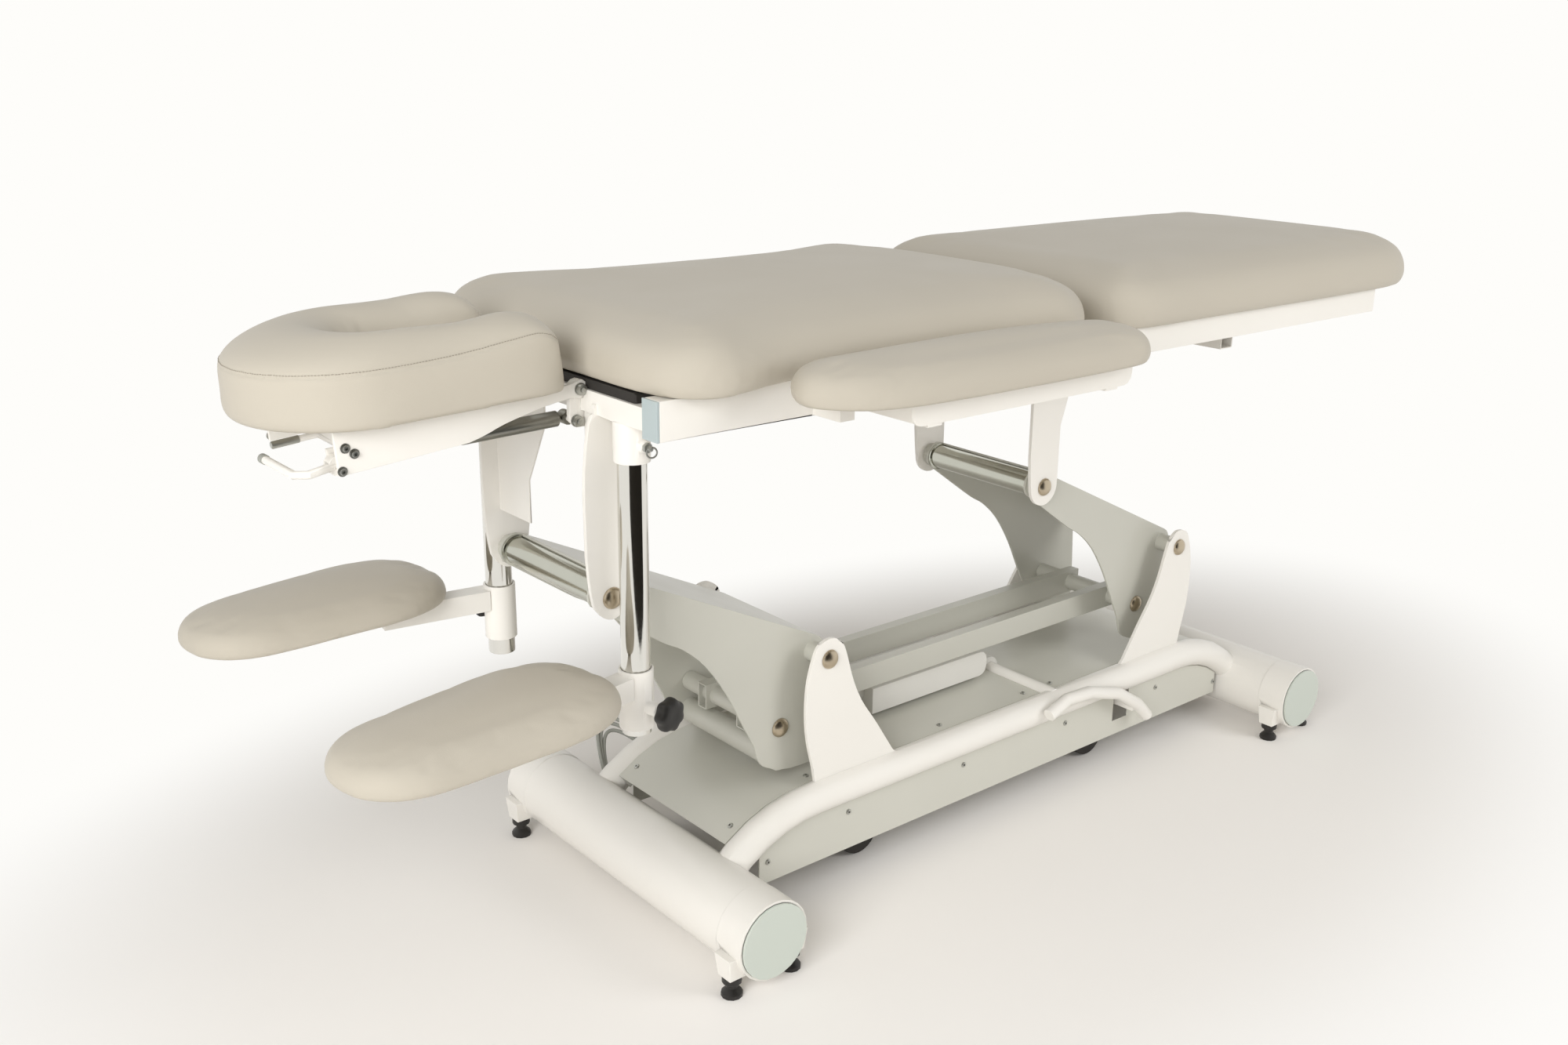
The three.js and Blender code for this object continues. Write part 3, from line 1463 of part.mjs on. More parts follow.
const pedalShares = [[0, 0.83], [0.157, 1], [0.38, 0.97], [0.664, 0.73], [0.884, 0.34], [1, 0]];

function pedal() {
  const points = pedalShares.map(([a, b]) => [pedalHead + a * pedalRun, -pedalY, pedalLow + b * pedalArch]);
  const grip = tube(points, pedalRadius, pinSides);
  const lever = block(
    pedalLeverX - pedalLeverHalf,
    pedalLeverX + pedalLeverHalf,
    -pedalY,
    -pedalAxisY,
    pedalAxisZ - pedalLeverHalf,
    pedalAxisZ + pedalLeverHalf,
  );
  const hub = rod(
    'x',
    [-pedalAxisY, pedalAxisZ],
    pedalBossRadius,
    pedalLeverX - pedalBossHalf,
    pedalLeverX + pedalBossHalf,
  );
  const bore = rod(
    'x',
    [-pedalAxisY, pedalAxisZ],
    pedalShaftRadius + strokePlay,
    pedalLeverX - pedalBracketHalf,
    pedalLeverX + pedalBracketHalf,
  );
  return joined([grip, lever, hub]).subtract(bore);
}

// Three strands between two ties, from the crossbar's back into the far side panel
const cableSteps = 8;

function cableBundle() {
  const strands = [-1, 0, 1].map((lane) => {
    const points = [];
    for (let i = 0; i <= cableSteps; i++) {
      const t = i / cableSteps;
      const bulge = Math.sin(Math.PI * t);
      const spread = lane * cableSpread * Math.min(1, 3 * bulge);
      points.push([
        cableStart[0] + (cableEnd[0] - cableStart[0]) * t,
        cableStart[1] + (cableEnd[1] - cableStart[1]) * t + cableOut * bulge + spread,
        cableStart[2] + (cableEnd[2] - cableStart[2]) * t + cableRise * bulge + spread,
      ]);
    }
    return tube(points, cableRadius, 6);
  });
  return joined(strands);
}

// The whole table
const table = new THREE.Group();
table.add(piece('base_frame', baseFrame(), white));
for (const end of ends) {
  for (const side of sides) {
    const name = `${end < 0 ? 'head' : 'foot'}_${side < 0 ? 'near' : 'far'}_end_disc`;
    const span = between(side, crossbarHalf + gap, crossbarHalf + gap + endDiscThick);
    const disc = rod('y', [end * crossbarX, crossbarZ], crossbarRadius - endDiscInset, ...span, round);
    table.add(piece(name, disc, paleGrey));
  }
}
footPlaces().forEach(([x, y], i) => {
  const mesh = piece(`foot_${i + 1}`, foot(), black);
  mesh.position.set(x, y, 0);
  table.add(mesh);
});
table.add(piece('near_side_panel', sidePanel(-1), paleGrey));
table.add(piece('far_side_panel', sidePanel(1), paleGrey));
table.add(piece('floor_pan', floorPan(), paleGrey));
table.add(piece('control_box', controlBox(), white));
table.add(piece('head_lift_arm', liftArm(pivotHead, true), grey));
table.add(piece('foot_lift_arm', liftArm(pivotFoot, false), grey));
table.add(piece('drag_link', dragLink(), grey));
for (const [name, x] of [['head', pivotHead], ['foot', pivotFoot]]) {
  table.add(piece(`${name}_base_pivot_pin`, pin(x, pivotZ, finOuter), steel));
  table.add(piece(`${name}_top_pivot_pin`, pin(x - armReach, topPivotZ, hangerOuter), steel));
  table.add(piece(`${name}_link_pivot_pin`, pin(x - linkBack, pivotZ - linkDrop, armHalf), steel));
}
table.add(piece('actuator_body', actuatorBody(), paleGrey));
table.add(piece('actuator_rod', actuatorRod(), steel));
const top = new THREE.Group();
top.position.set(pivotHead - armReach - hangerX, 0, topPivotZ - hangerZ);
top.add(piece('top_frame', topFrame(), white));
top.add(piece('near_rail_cap', railCap(-1), paleGrey));
top.add(piece('far_rail_cap', railCap(1), paleGrey));
top.add(piece('torso_cushion', torsoCushion(), vinyl));
top.add(piece('leg_frame', legFrame(), white));
top.add(piece('leg_cushion', legCushion(), vinyl));
top.add(headSection());
top.add(gasSpring());
sides.forEach((side) => top.add(forearmRest(side)));
sides.forEach((side) => addWing(top, side));
table.add(top);
table.add(piece('cable_bundle', cableBundle(), cable));
table.add(piece('castor_pedal', pedal(), white));
table.add(piece('castor_carriage', carriage(), white));
for (const side of sides) {
  const name = side < 0 ? 'near' : 'far';
  table.add(piece(`head_${name}_castor`, wheel(wheelHead, side), black));
  table.add(piece(`foot_${name}_castor`, wheel(wheelFoot, side), black));
}

// Origin: on the floor under the middle of the whole table
table.updateMatrixWorld(true);
const middle = new THREE.Box3().setFromObject(table, true).getCenter(new THREE.Vector3());
table.position.set(-middle.x, -middle.y, 0);

export default table;
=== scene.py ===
# %% [markdown]
# A massage table with a lifting base, a padded top in five cushions and two hanging
# forearm rests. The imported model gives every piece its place, and this script dresses it:
# soft covers, painted steel, chrome, screws and stitches. Work is in metres. Sizes from
# the table's drawing are in millimetres, and at() makes them points of the scene.

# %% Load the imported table
import json
import math

import bmesh
import bpy
import numpy as np
from mathutils import Matrix, Vector
from mathutils.bvhtree import BVHTree

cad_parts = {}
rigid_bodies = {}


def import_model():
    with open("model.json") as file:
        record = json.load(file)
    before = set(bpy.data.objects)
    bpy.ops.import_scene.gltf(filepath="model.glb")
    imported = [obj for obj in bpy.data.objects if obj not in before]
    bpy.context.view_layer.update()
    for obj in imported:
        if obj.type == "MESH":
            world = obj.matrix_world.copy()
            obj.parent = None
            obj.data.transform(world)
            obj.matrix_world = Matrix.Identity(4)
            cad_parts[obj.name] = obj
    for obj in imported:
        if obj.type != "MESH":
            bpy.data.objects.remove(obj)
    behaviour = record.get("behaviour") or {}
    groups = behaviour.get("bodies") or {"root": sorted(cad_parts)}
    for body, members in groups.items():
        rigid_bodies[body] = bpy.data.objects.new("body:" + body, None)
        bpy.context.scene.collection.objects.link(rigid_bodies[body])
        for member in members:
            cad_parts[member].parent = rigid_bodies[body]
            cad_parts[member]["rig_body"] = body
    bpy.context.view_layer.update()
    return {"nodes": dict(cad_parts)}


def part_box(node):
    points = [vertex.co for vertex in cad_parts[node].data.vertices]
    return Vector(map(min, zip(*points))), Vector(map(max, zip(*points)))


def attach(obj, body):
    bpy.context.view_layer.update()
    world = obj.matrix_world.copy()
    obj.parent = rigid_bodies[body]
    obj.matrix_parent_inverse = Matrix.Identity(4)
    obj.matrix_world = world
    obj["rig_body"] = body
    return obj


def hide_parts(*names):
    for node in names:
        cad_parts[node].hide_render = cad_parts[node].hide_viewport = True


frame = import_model()
MM = 0.001  # one millimetre in metres
MIDDLE = 131.48  # from the table's middle to the drawing's origin, in mm
SIDES = (("near", -1), ("far", 1))
scene = bpy.context.scene


def at(x, y, z):
    """A place on the table's drawing, in mm, as a point of the scene."""
    return Vector(((x + MIDDLE) / 1000, y / 1000, z / 1000))


def piece_of(name, points, faces, finish=None):
    """A new object from points and faces, as they are."""
    mesh = bpy.data.meshes.new(name)
    mesh.from_pydata(points, [], faces)
    if finish:
        mesh.materials.append(finish)
    made = bpy.data.objects.new(name, mesh)
    scene.collection.objects.link(made)
    return made


def belongs(piece, body, slot, node=None):
    """The body that a piece rides on, and the node that it stands in for. The slot is not used."""
    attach(piece, body)
    if node:
        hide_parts(node)


# %% [markdown]
# The camera stands a little above the table's top, off its head corner on the near side.
# Its place and lens were worked out once from straight tubes of known size. The small
# shift only finishes the framing.

# %% Set up the camera
CAMERA = {"lens": 34.566, "sensor_width": 36, "shift_x": -0.01015, "shift_y": 0.00037, "clip_end": 60}
CAMERA_RIGHT, CAMERA_UP = (0.76293, -0.64628, 0.01596, 0), (0.18516, 0.24210, 0.95242, 0)
CAMERA_BACK, CAMERA_PLACE = (-0.61939, -0.72368, 0.30437, 0), (-1.60698, -1.63646, 1.21393, 1)
camera_data = bpy.data.cameras.new("camera")
for key, value in CAMERA.items():
    setattr(camera_data, key, value)
camera = bpy.data.objects.new("camera", camera_data)
camera.matrix_world = Matrix((CAMERA_RIGHT, CAMERA_UP, CAMERA_BACK, CAMERA_PLACE)).transposed()
scene.collection.objects.link(camera)
scene.camera = camera
scene.view_settings.view_transform = "Standard"
print("camera at", [round(v, 3) for v in camera.location])

# %% [markdown]
# Materials are node trees. Two small classes keep them readable: Wire lets ordinary
# Python operators add Math nodes, and Finish adds any other node in one call. Numbers
# that are the same all over a surface go straight into the shader's own sockets.

# %% Small classes for writing materials


def add_node(tree, kind, settings=None, inputs=None):
    """A new node: its settings first, then the values or links of its sockets."""
    made = tree.nodes.new(kind)
    for key, value in (settings or {}).items():
        setattr(made, key, value)
    for key, value in (inputs or {}).items():
        value = getattr(value, "socket", value)
        if isinstance(value, bpy.types.NodeSocket):
            tree.links.new(value, made.inputs[key])
        else:
            made.inputs[key].default_value = value
    return made


class Wire:
    """An output socket that can be used in sums."""

    def __init__(self, finish, socket):
        self.finish = finish
        self.socket = socket

    def _maths(self, operation, first, second=None):
        values = {0: first} if second is None else {0: first, 1: second}
        return self.finish.node("Math", {"operation": operation}, values)

    def __add__(self, other):
        return self._maths("ADD", self, other)

    def __sub__(self, other):
        return self._maths("SUBTRACT", self, other)

    def __rsub__(self, other):
        return self._maths("SUBTRACT", other, self)

    def __mul__(self, other):
        return self._maths("MULTIPLY", self, other)

    __radd__ = __add__
    __rmul__ = __mul__


class Finish:
    """A material whose nodes are added one call at a time."""

    def __init__(self, name, tree=None):
        self.material = None if tree else bpy.data.materials.new(name)
        if self.material:
            self.material.use_nodes = True
            self.material.node_tree.nodes.clear()
        self.tree = tree or self.material.node_tree

    def node(self, kind, settings=None, inputs=None, output=0):
        made = add_node(self.tree, "ShaderNode" + kind, settings, inputs)
        return Wire(self, made.outputs[output]) if made.outputs else None

    def surface(self, shader):
        self.node("OutputMaterial", {}, {"Surface": shader})


def paint(red, green, blue):
    """A colour as seen on a screen, from 0 to 255, as the shader's linear colour."""
    shares = [v / 255 for v in (red, green, blue)]
    return (*[v / 12.92 if v < 0.04 else ((v + 0.055) / 1.055) ** 2.4 for v in shares], 1)


# %% [markdown]
# The room is a white studio. The floor is a wide pale disc that keeps the shadow under
# the table. Round it the floor fades to plain white for the camera and for reflections,
# and so does the sky. Two soft lamps stand on the near side, off the head end and off the
# foot end, and a weak one hangs overhead. A dark card close to the near side, seen only
# in reflections, draws the dark bands that chrome needs.

# %% Build the studio
BACKDROP = paint(254, 253, 250)
FLOOR_RADIUS, FLOOR_SIDES = 14, 48
SHADE_OVAL, SHADE_FROM, SHADE_TO = (0.62, 1.05, 0), 0.62, 1.15


def seen_direct(finish):
    """1 for rays from the camera, from reflections and through glass, 0 for the rest."""
    kinds = ("Is Camera Ray", "Is Glossy Ray", "Is Transmission Ray")
    ways = [finish.node("LightPath", {}, {}, kind) for kind in kinds]
    return finish.node("Math", {"operation": "ADD", "use_clamp": True}, {0: ways[0] + ways[1], 1: ways[2]})


floor_finish = Finish("studio_floor")
where = floor_finish.node("TexCoord", {}, {}, "Object")
oval = floor_finish.node("VectorMath", {"operation": "MULTIPLY"}, {0: where, 1: SHADE_OVAL})
away = floor_finish.node("VectorMath", {"operation": "LENGTH"}, {0: oval}, "Value")
far_off = floor_finish.node("MapRange", {"interpolation_type": "SMOOTHSTEP"},
                            {"Value": away, "From Min": SHADE_FROM, "From Max": SHADE_TO})
paper = floor_finish.node("BsdfPrincipled", {}, {
    "Base Color": paint(253, 250, 246),
    "Roughness": 0.9,
    "Specular IOR Level": 0.1,
})
white_paper = floor_finish.node("Emission", {}, {"Color": BACKDROP, "Strength": 1})
faded = far_off * seen_direct(floor_finish)
floor_finish.surface(floor_finish.node("MixShader", {}, {0: faded, 1: paper, 2: white_paper}))
rim = [(FLOOR_RADIUS * math.cos(a), FLOOR_RADIUS * math.sin(a), 0)
       for a in np.linspace(0, 2 * math.pi, FLOOR_SIDES, endpoint=False)]
floor = piece_of("floor", rim, [tuple(range(FLOOR_SIDES))], floor_finish.material)

world = bpy.data.worlds.new("studio")
world.use_nodes = True
world.node_tree.nodes.clear()
sky = Finish("sky", world.node_tree)
lit = sky.node("Background", {}, {"Color": paint(255, 253, 249), "Strength": 0.42})
white = sky.node("Background", {}, {"Color": BACKDROP, "Strength": 1})
sky.node("OutputWorld", {}, {"Surface": sky.node("MixShader", {}, {0: seen_direct(sky), 1: lit, 2: white})})
scene.world = world


def soft_lamp(name, place, towards, size, power):
    """A square lamp, in metres and watts, that faces a point and doesn't show in reflections."""
    lamp = bpy.data.lights.new(name, "AREA")
    lamp.size = size
    lamp.energy = power
    holder = bpy.data.objects.new(name, lamp)
    holder.location = place
    holder.rotation_euler = (Vector(towards) - Vector(place)).to_track_quat("-Z", "Y").to_euler()
    holder.visible_glossy = False
    scene.collection.objects.link(holder)


soft_lamp("overhead_lamp", (-0.6, 0.6, 3.6), (0, 0, 0.7), 2.6, 2)
soft_lamp("key_lamp", (-3.1, -1.6, 1.8), (-0.3, 0, 0.5), 1.8, 78)
soft_lamp("foot_lamp", (1.5, -2.9, 1.9), (0.3, 0, 0.5), 1.6, 38)

card_finish = Finish("dark_card")
card_finish.surface(card_finish.node("BsdfPrincipled", {}, {"Base Color": paint(30, 26, 20), "Roughness": 1}))
corners = [(-1.9, -1.2, 0), (0.9, -1.2, 0), (0.9, 1.2, 0), (-1.9, 1.2, 0)]
card = piece_of("dark_card", corners, [(0, 1, 2, 3)], card_finish.material)
card.location = (-0.5, -1.35, 1.21)
card.rotation_euler = (math.pi / 2, 0, 0)
for way in ("camera", "diffuse", "shadow", "transmission", "volume_scatter"):
    setattr(card, "visible_" + way, False)
print("studio: floor, sky, three lamps, one card")

# %% [markdown]
# Vinyl covers most of what is seen. Real cover vinyl is a calendered sheet with a fine
# pebbled grain about a millimetre across and a soft, even shine. Here a cell pattern
# and a finer noise bump the surface, and broad, faint clouds keep the colour alive.

# %% Make the cover vinyl


def grain_bump(finish, where, scale, depth):
    """A fine noise pressed into the surface."""
    noise = finish.node("TexNoise", {}, {"Vector": where, "Scale": scale, "Detail": 2, "Roughness": 0.55})
    return finish.node("Bump", {}, {"Height": noise, "Strength": 1, "Distance": depth})


def clouds(finish, where, scale, low, high):
    """A broad, slow change between two colours."""
    noise = finish.node("TexNoise", {}, {"Vector": where, "Scale": scale, "Detail": 3})
    return finish.node("Mix", {"data_type": "RGBA"}, {0: noise, 6: low, 7: high}, 2)


def cover_vinyl(name, tone):
    """Cover vinyl. A seam attribute, where a cushion has one, presses a line into it."""
    finish = Finish(name)
    where = finish.node("TexCoord", {}, {}, "Object")
    colour = clouds(finish, where, 3.5, paint(*[v - 3 for v in tone]), paint(*[v + 3 for v in tone]))
    cells = finish.node("TexVoronoi", {"feature": "SMOOTH_F1"},
                        {"Vector": where, "Scale": 620, "Smoothness": 0.6})
    fine = finish.node("TexNoise", {}, {"Vector": where, "Scale": 1500, "Detail": 2})
    press = finish.node("Attribute", {"attribute_name": "seam"}, {}, "Fac")
    height = cells * 0.00006 + fine * 0.00003 - press * 0.0011
    bump = finish.node("Bump", {}, {"Height": height, "Strength": 1, "Distance": 1})
    rough = finish.node("TexNoise", {}, {"Vector": where, "Scale": 9, "Detail": 2}) * 0.1 + 0.4
    finish.surface(finish.node("BsdfPrincipled", {}, {
        "Base Color": colour,
        "Roughness": rough,
        "Normal": bump,
        "Specular IOR Level": 0.42,
    }))
    return finish.material


VINYL = cover_vinyl("cover_vinyl", (191, 184, 170))

# %% [markdown]
# The steel is powder coated, white on the frame and grey on the lift, with a faint orange
# peel near by. Sheet covers on the base are a cooler grey-green with a duller skin. One
# function makes every coated skin, and the plastics use it too.

# %% Make the painted and plated metals


def skin(name, low, high, roughness, cloud=5, marks=(14, 3, 0.12), grain=(420, 0.00004), coat=0.15):
    """A coated or moulded skin. Marks vary the roughness: scale, detail, share. Grain: scale, depth."""
    finish = Finish(name)
    where = finish.node("TexCoord", {}, {}, "Object")
    scale, detail, share = marks
    rough = finish.node("TexNoise", {}, {"Vector": where, "Scale": scale, "Detail": detail}) * share
    finish.surface(finish.node("BsdfPrincipled", {}, {
        "Base Color": clouds(finish, where, cloud, paint(*low), paint(*high)),
        "Roughness": rough + roughness,
        "Normal": grain_bump(finish, where, *grain),
        "Coat Weight": coat,
        "Coat Roughness": 0.18,
    }))
    return finish.material


def bare_metal(name, low, high, roughness, scratch=0.00001):
    """Plated or polished metal with faint marks."""
    finish = Finish(name)
    where = finish.node("TexCoord", {}, {}, "Object")
    marks = finish.node("TexNoise", {}, {"Vector": where, "Scale": 300, "Detail": 4})
    finish.surface(finish.node("BsdfPrincipled", {}, {
        "Base Color": clouds(finish, where, 30, paint(*low), paint(*high)),
        "Metallic": 1,
        "Roughness": marks * 0.1 + roughness,
        "Normal": finish.node("Bump", {}, {"Height": marks, "Strength": 1, "Distance": scratch}),
    }))
    return finish.material


WHITE = skin("white_powder_coat", (236, 233, 226), (241, 238, 232), 0.28)
GREY = skin("grey_powder_coat", (193, 192, 182), (199, 198, 188), 0.28)
SHEET = skin("pale_sheet_coat", (203, 202, 192), (209, 208, 198), 0.34)
DISC = skin("end_disc_coat", (200, 207, 198), (204, 211, 202), 0.34)
CAP = skin("rail_cap_coat", (172, 184, 186), (178, 190, 191), 0.34)
CHROME = bare_metal("post_chrome", (222, 220, 214), (228, 226, 220), 0.02, 0.000004)
STEEL = bare_metal("pin_steel", (190, 176, 152), (200, 187, 166), 0.28)
ZINC = bare_metal("screw_zinc", (186, 188, 184), (206, 206, 200), 0.42)
GAS_STEEL = bare_metal("gas_spring_steel", (150, 149, 142), (158, 157, 150), 0.3)
TUBE = bare_metal("pivot_tube_steel", (190, 191, 180), (200, 200, 190), 0.13, 0.000006)

# %% [markdown]
# Black plastic and rubber are never pure black. They get a dark grey with a moulded
# grain that breaks the shine. The cables are a soft grey sheath.

# %% Make the plastics and rubber


def moulded(name, low, high, roughness, scale=900, depth=0.00005):
    """Moulded plastic or rubber with a spark-eroded grain."""
    return skin(name, low, high, roughness, 22, (40, 2, 0.14), (scale, depth), 0)


BLACK = moulded("black_plastic", (30, 29, 27), (40, 38, 36), 0.38)
RUBBER = moulded("castor_rubber", (42, 40, 38), (54, 51, 48), 0.62)
SHEATH = moulded("cable_sheath", (150, 151, 144), (164, 165, 157), 0.45, 600)
BOX_WHITE = moulded("white_plastic", (226, 224, 218), (232, 230, 224), 0.4, 700, 0.00003)
print("materials:", len(bpy.data.materials))

# %% [markdown]
# The cables come first. Three thin leads rise from behind the head crossbar, loop
# over beside the far rail and go into the far side panel. Each is a round curve of 40
# points.

# %% Lay the three leads
CABLE_START, CABLE_END, CABLE_STEPS = (-568, 190, 92), (-462, 161.4, 100), 40
CABLE_OUT, CABLE_UP, CABLE_LANE = 92, 52, 9
CABLE_THICK = 0.006


def lead_route(lane):
    """Points along one lead, which loops out and up, in its own lane away from the ends."""
    points = []
    for i in range(CABLE_STEPS + 1):
        t = i / CABLE_STEPS
        bulge = math.sin(math.pi * t)
        apart = lane * CABLE_LANE * (1 - (1 - min(1, 3 * bulge)) ** 2)
        x, y, z = [a + (b - a) * t for a, b in zip(CABLE_START, CABLE_END)]
        points.append(at(x, y + CABLE_OUT * bulge + apart, z + CABLE_UP * bulge + apart))
    return points


for number, lane in enumerate((-1, 0, 1), 1):
    route = lead_route(lane)
    curve = bpy.data.curves.new(f"lead_{number}", "CURVE")
    curve.dimensions = "3D"
    curve.bevel_depth = CABLE_THICK / 2
    curve.bevel_resolution = 3
    curve.use_fill_caps = True
    spline = curve.splines.new("POLY")
    spline.points.add(len(route) - 1)
    for point, place in zip(spline.points, route):
        point.co = (*place, 1)
    spline.use_smooth = True
    curve.materials.append(SHEATH)
    lead = bpy.data.objects.new(f"lead_{number}", curve)
    scene.collection.objects.link(lead)
    belongs(lead, "base", "cable_sheath", "cable_bundle" if number == 1 else None)

# %% [markdown]
# Cushions are closed shells built ring by ring. Each starts from a handful of stops in
# plan and in section, and one helper draws a smooth line through them, as a bent batten
# would, and divides it into even steps.

# %% Draw smooth lines through stops


def through(stops, count, closed=False):
    """Even steps along a smooth line through the stops, each a point or a row of points."""
    stops = np.array(stops, float)
    if closed:
        stops = np.concatenate([stops[-3:], stops, stops[:4]])
    steps = np.linalg.norm(np.diff(stops, axis=0), axis=-1)
    while steps.ndim > 1:
        steps = steps.mean(-1)
    knots = np.concatenate([[0], np.cumsum(np.maximum(steps, 1e-9) ** 0.5)])
    slopes = np.gradient(stops, knots, axis=0)
    first, last = (knots[3], knots[-4]) if closed else (knots[0], knots[-1])

    def place(where):
        left = np.clip(np.searchsorted(knots, where, "right") - 1, 0, len(knots) - 2)
        span = knots[left + 1] - knots[left]
        shape = (-1,) + (1,) * (stops.ndim - 1)
        t = ((where - knots[left]) / span).reshape(shape)
        span = span.reshape(shape)
        return ((2 * t**3 - 3 * t**2 + 1) * stops[left] + (t**3 - 2 * t**2 + t) * span * slopes[left]
                + (3 * t**2 - 2 * t**3) * stops[left + 1] + (t**3 - t**2) * span * slopes[left + 1])

    fine = np.linspace(first, last, count * 8)
    line = place(fine)
    run = np.linalg.norm(np.diff(line, axis=0), axis=-1)
    while run.ndim > 1:
        run = run.mean(-1)
    run = np.concatenate([[0], np.cumsum(run)])
    even = np.linspace(0, run[-1], count, endpoint=not closed)
    return place(np.interp(even, run, fine))


def ring_faces(rings, around):
    """Four-sided faces between each ring of points and the next."""
    return [(k * around + i, k * around + (i + 1) % around, (k + 1) * around + (i + 1) % around,
             (k + 1) * around + i) for k in range(rings - 1) for i in range(around)]


def solid(name, points, faces, weld, finish=None, fill=False):
    """A smooth piece with its doubles merged, its holes filled if asked, and its faces turned out."""
    made = piece_of(name, points, faces, finish)
    model = bmesh.new()
    model.from_mesh(made.data)
    bmesh.ops.remove_doubles(model, verts=model.verts, dist=weld)
    if fill:
        bmesh.ops.holes_fill(model, edges=model.edges)
    bmesh.ops.recalc_face_normals(model, faces=model.faces)
    for face in model.faces:
        face.smooth = True
    model.to_mesh(made.data)
    model.free()
    return made


def shell(name, rings, finish=None, caps=True):
    """A closed piece from rings of points given in drawing mm, first ring to last."""
    rings = np.array(rings, float)
    around = rings.shape[1]
    points = [at(*p) for p in rings.reshape(-1, 3)]
    faces = ring_faces(len(rings), around)
    if caps:
        for ring, start in ((rings[0], 0), (rings[-1], (len(rings) - 1) * around)):
            points.append(at(*ring.mean(0)))
            faces += [(start + i, start + (i + 1) % around, len(points) - 1) for i in range(around)]
    return solid(name, points, faces, 1e-6, finish)


# %% [markdown]
# A cushion over a board has a flat bottom with a fairly sharp edge, a side that bows a
# little, and a top that rolls in slowly and keeps rising to a low crown in the middle.
# The section below gives that once, for the torso, the legs, the wings and the rests.

# %% Shape a board cushion
# up the side: share of the edge's roll, and share of the height
SIDE = [(0.16, 0), (0.04, 0.06), (0, 0.17), (0.02, 0.34), (0.11, 0.52), (0.3, 0.68), (0.6, 0.79), (1, 0.87)]
CROWN_SCALES, CROWN_DROP, CROWN_POWER = (0.86, 0.7, 0.52, 0.34, 0.17), 0.13, 2.1
EDGE_ROLL = 68  # mm
SLIM = 2.2  # mm taken off all round, which the cover's swelling fills again


def settled(ring, width):
    """A closed ring smoothed over this many steps, so that inset corners don't cross."""
    waves = np.fft.rfft(ring, axis=0)
    keep = np.exp(-0.5 * (2 * math.pi * np.arange(len(waves)) / len(ring) * width) ** 2)
    return np.fft.irfft(waves * keep[:, None], len(ring), axis=0)


def board_cushion(name, outline, bottom, thick, around, roll=EDGE_ROLL, slim=SLIM):
    """Rings from the board's edge up over the side and in to the crown. Sizes are in mm."""
    plan = through(outline, around, closed=True)
    ahead, behind = np.roll(plan, -1, 0), np.roll(plan, 1, 0)
    inward = np.stack([behind[:, 1] - ahead[:, 1], ahead[:, 0] - behind[:, 0]], 1)
    inward /= np.linalg.norm(inward, axis=1)[:, None]
    middle = plan.mean(0)
    if ((middle - plan) * inward).sum() < 0:
        inward = -inward
    step = np.linalg.norm(ahead - plan, axis=1).mean()
    rings = []
    for inset, height in SIDE:
        edge = settled(plan + inward * (inset * roll + slim), 0.55 * inset * roll / step)
        rings.append(np.column_stack([edge, np.full(len(edge), bottom + height * (thick - slim))]))
    edge = settled(plan + inward * (roll + slim), 0.7 * roll / step)
    for scale in CROWN_SCALES:
        height = 1 - CROWN_DROP * scale**CROWN_POWER
        inner = middle + (edge - middle) * scale
        rings.append(np.column_stack([inner, np.full(len(edge), bottom + height * (thick - slim))]))
    return shell(name, through(rings, 64))


# %% [markdown]
# Vinyl stretched over foam is under tension, so the cover swells a little between its
# edges. Cloth simulation gives that: the shell is remeshed into even squares, blown up
# by a little pressure while its board side is held, and stopped after a few millimetres
# so that it stays clear of its neighbours. One subdivision then smooths it.

# %% Let the covers swell
CLOTH = {"quality": 4, "use_pressure": True, "vertex_group_mass": "board"}
SWELL_STEPS = 20
EASE_IN, EASE_OUT = 0.5, -0.51


def applied(piece):
    """The piece with its modifiers made real."""
    bpy.context.view_layer.update()
    graph = bpy.context.evaluated_depsgraph_get()
    mesh = bpy.data.meshes.new_from_object(piece.evaluated_get(graph))
    piece.modifiers.clear()
    old = piece.data
    piece.data = mesh
    bpy.data.meshes.remove(old)
    return piece


def positions(mesh):
    """A mesh's points as rows of x, y and z."""
    found = np.zeros(len(mesh.vertices) * 3, np.float32)
    mesh.vertices.foreach_get("co", found)
    return found.reshape(-1, 3)


def eased(mesh, rounds):
    """Moves each point in to its neighbours' middle and back out, so that nothing shrinks."""
    ends = np.zeros(len(mesh.edges) * 2, np.int32)
    mesh.edges.foreach_get("vertices", ends)
    ends = ends.reshape(-1, 2)
    count = np.bincount(ends.ravel(), minlength=len(mesh.vertices))[:, None]
    place = positions(mesh).astype(float)
    for turn in range(rounds * 2):
        total = np.zeros_like(place)
        for axis in range(3):
            total[:, axis] = (np.bincount(ends[:, 0], place[ends[:, 1], axis], len(place))
                              + np.bincount(ends[:, 1], place[ends[:, 0], axis], len(place)))
        place += (total / count - place) * (EASE_OUT if turn % 2 else EASE_IN)
    mesh.vertices.foreach_set("co", place.astype(np.float32).ravel())


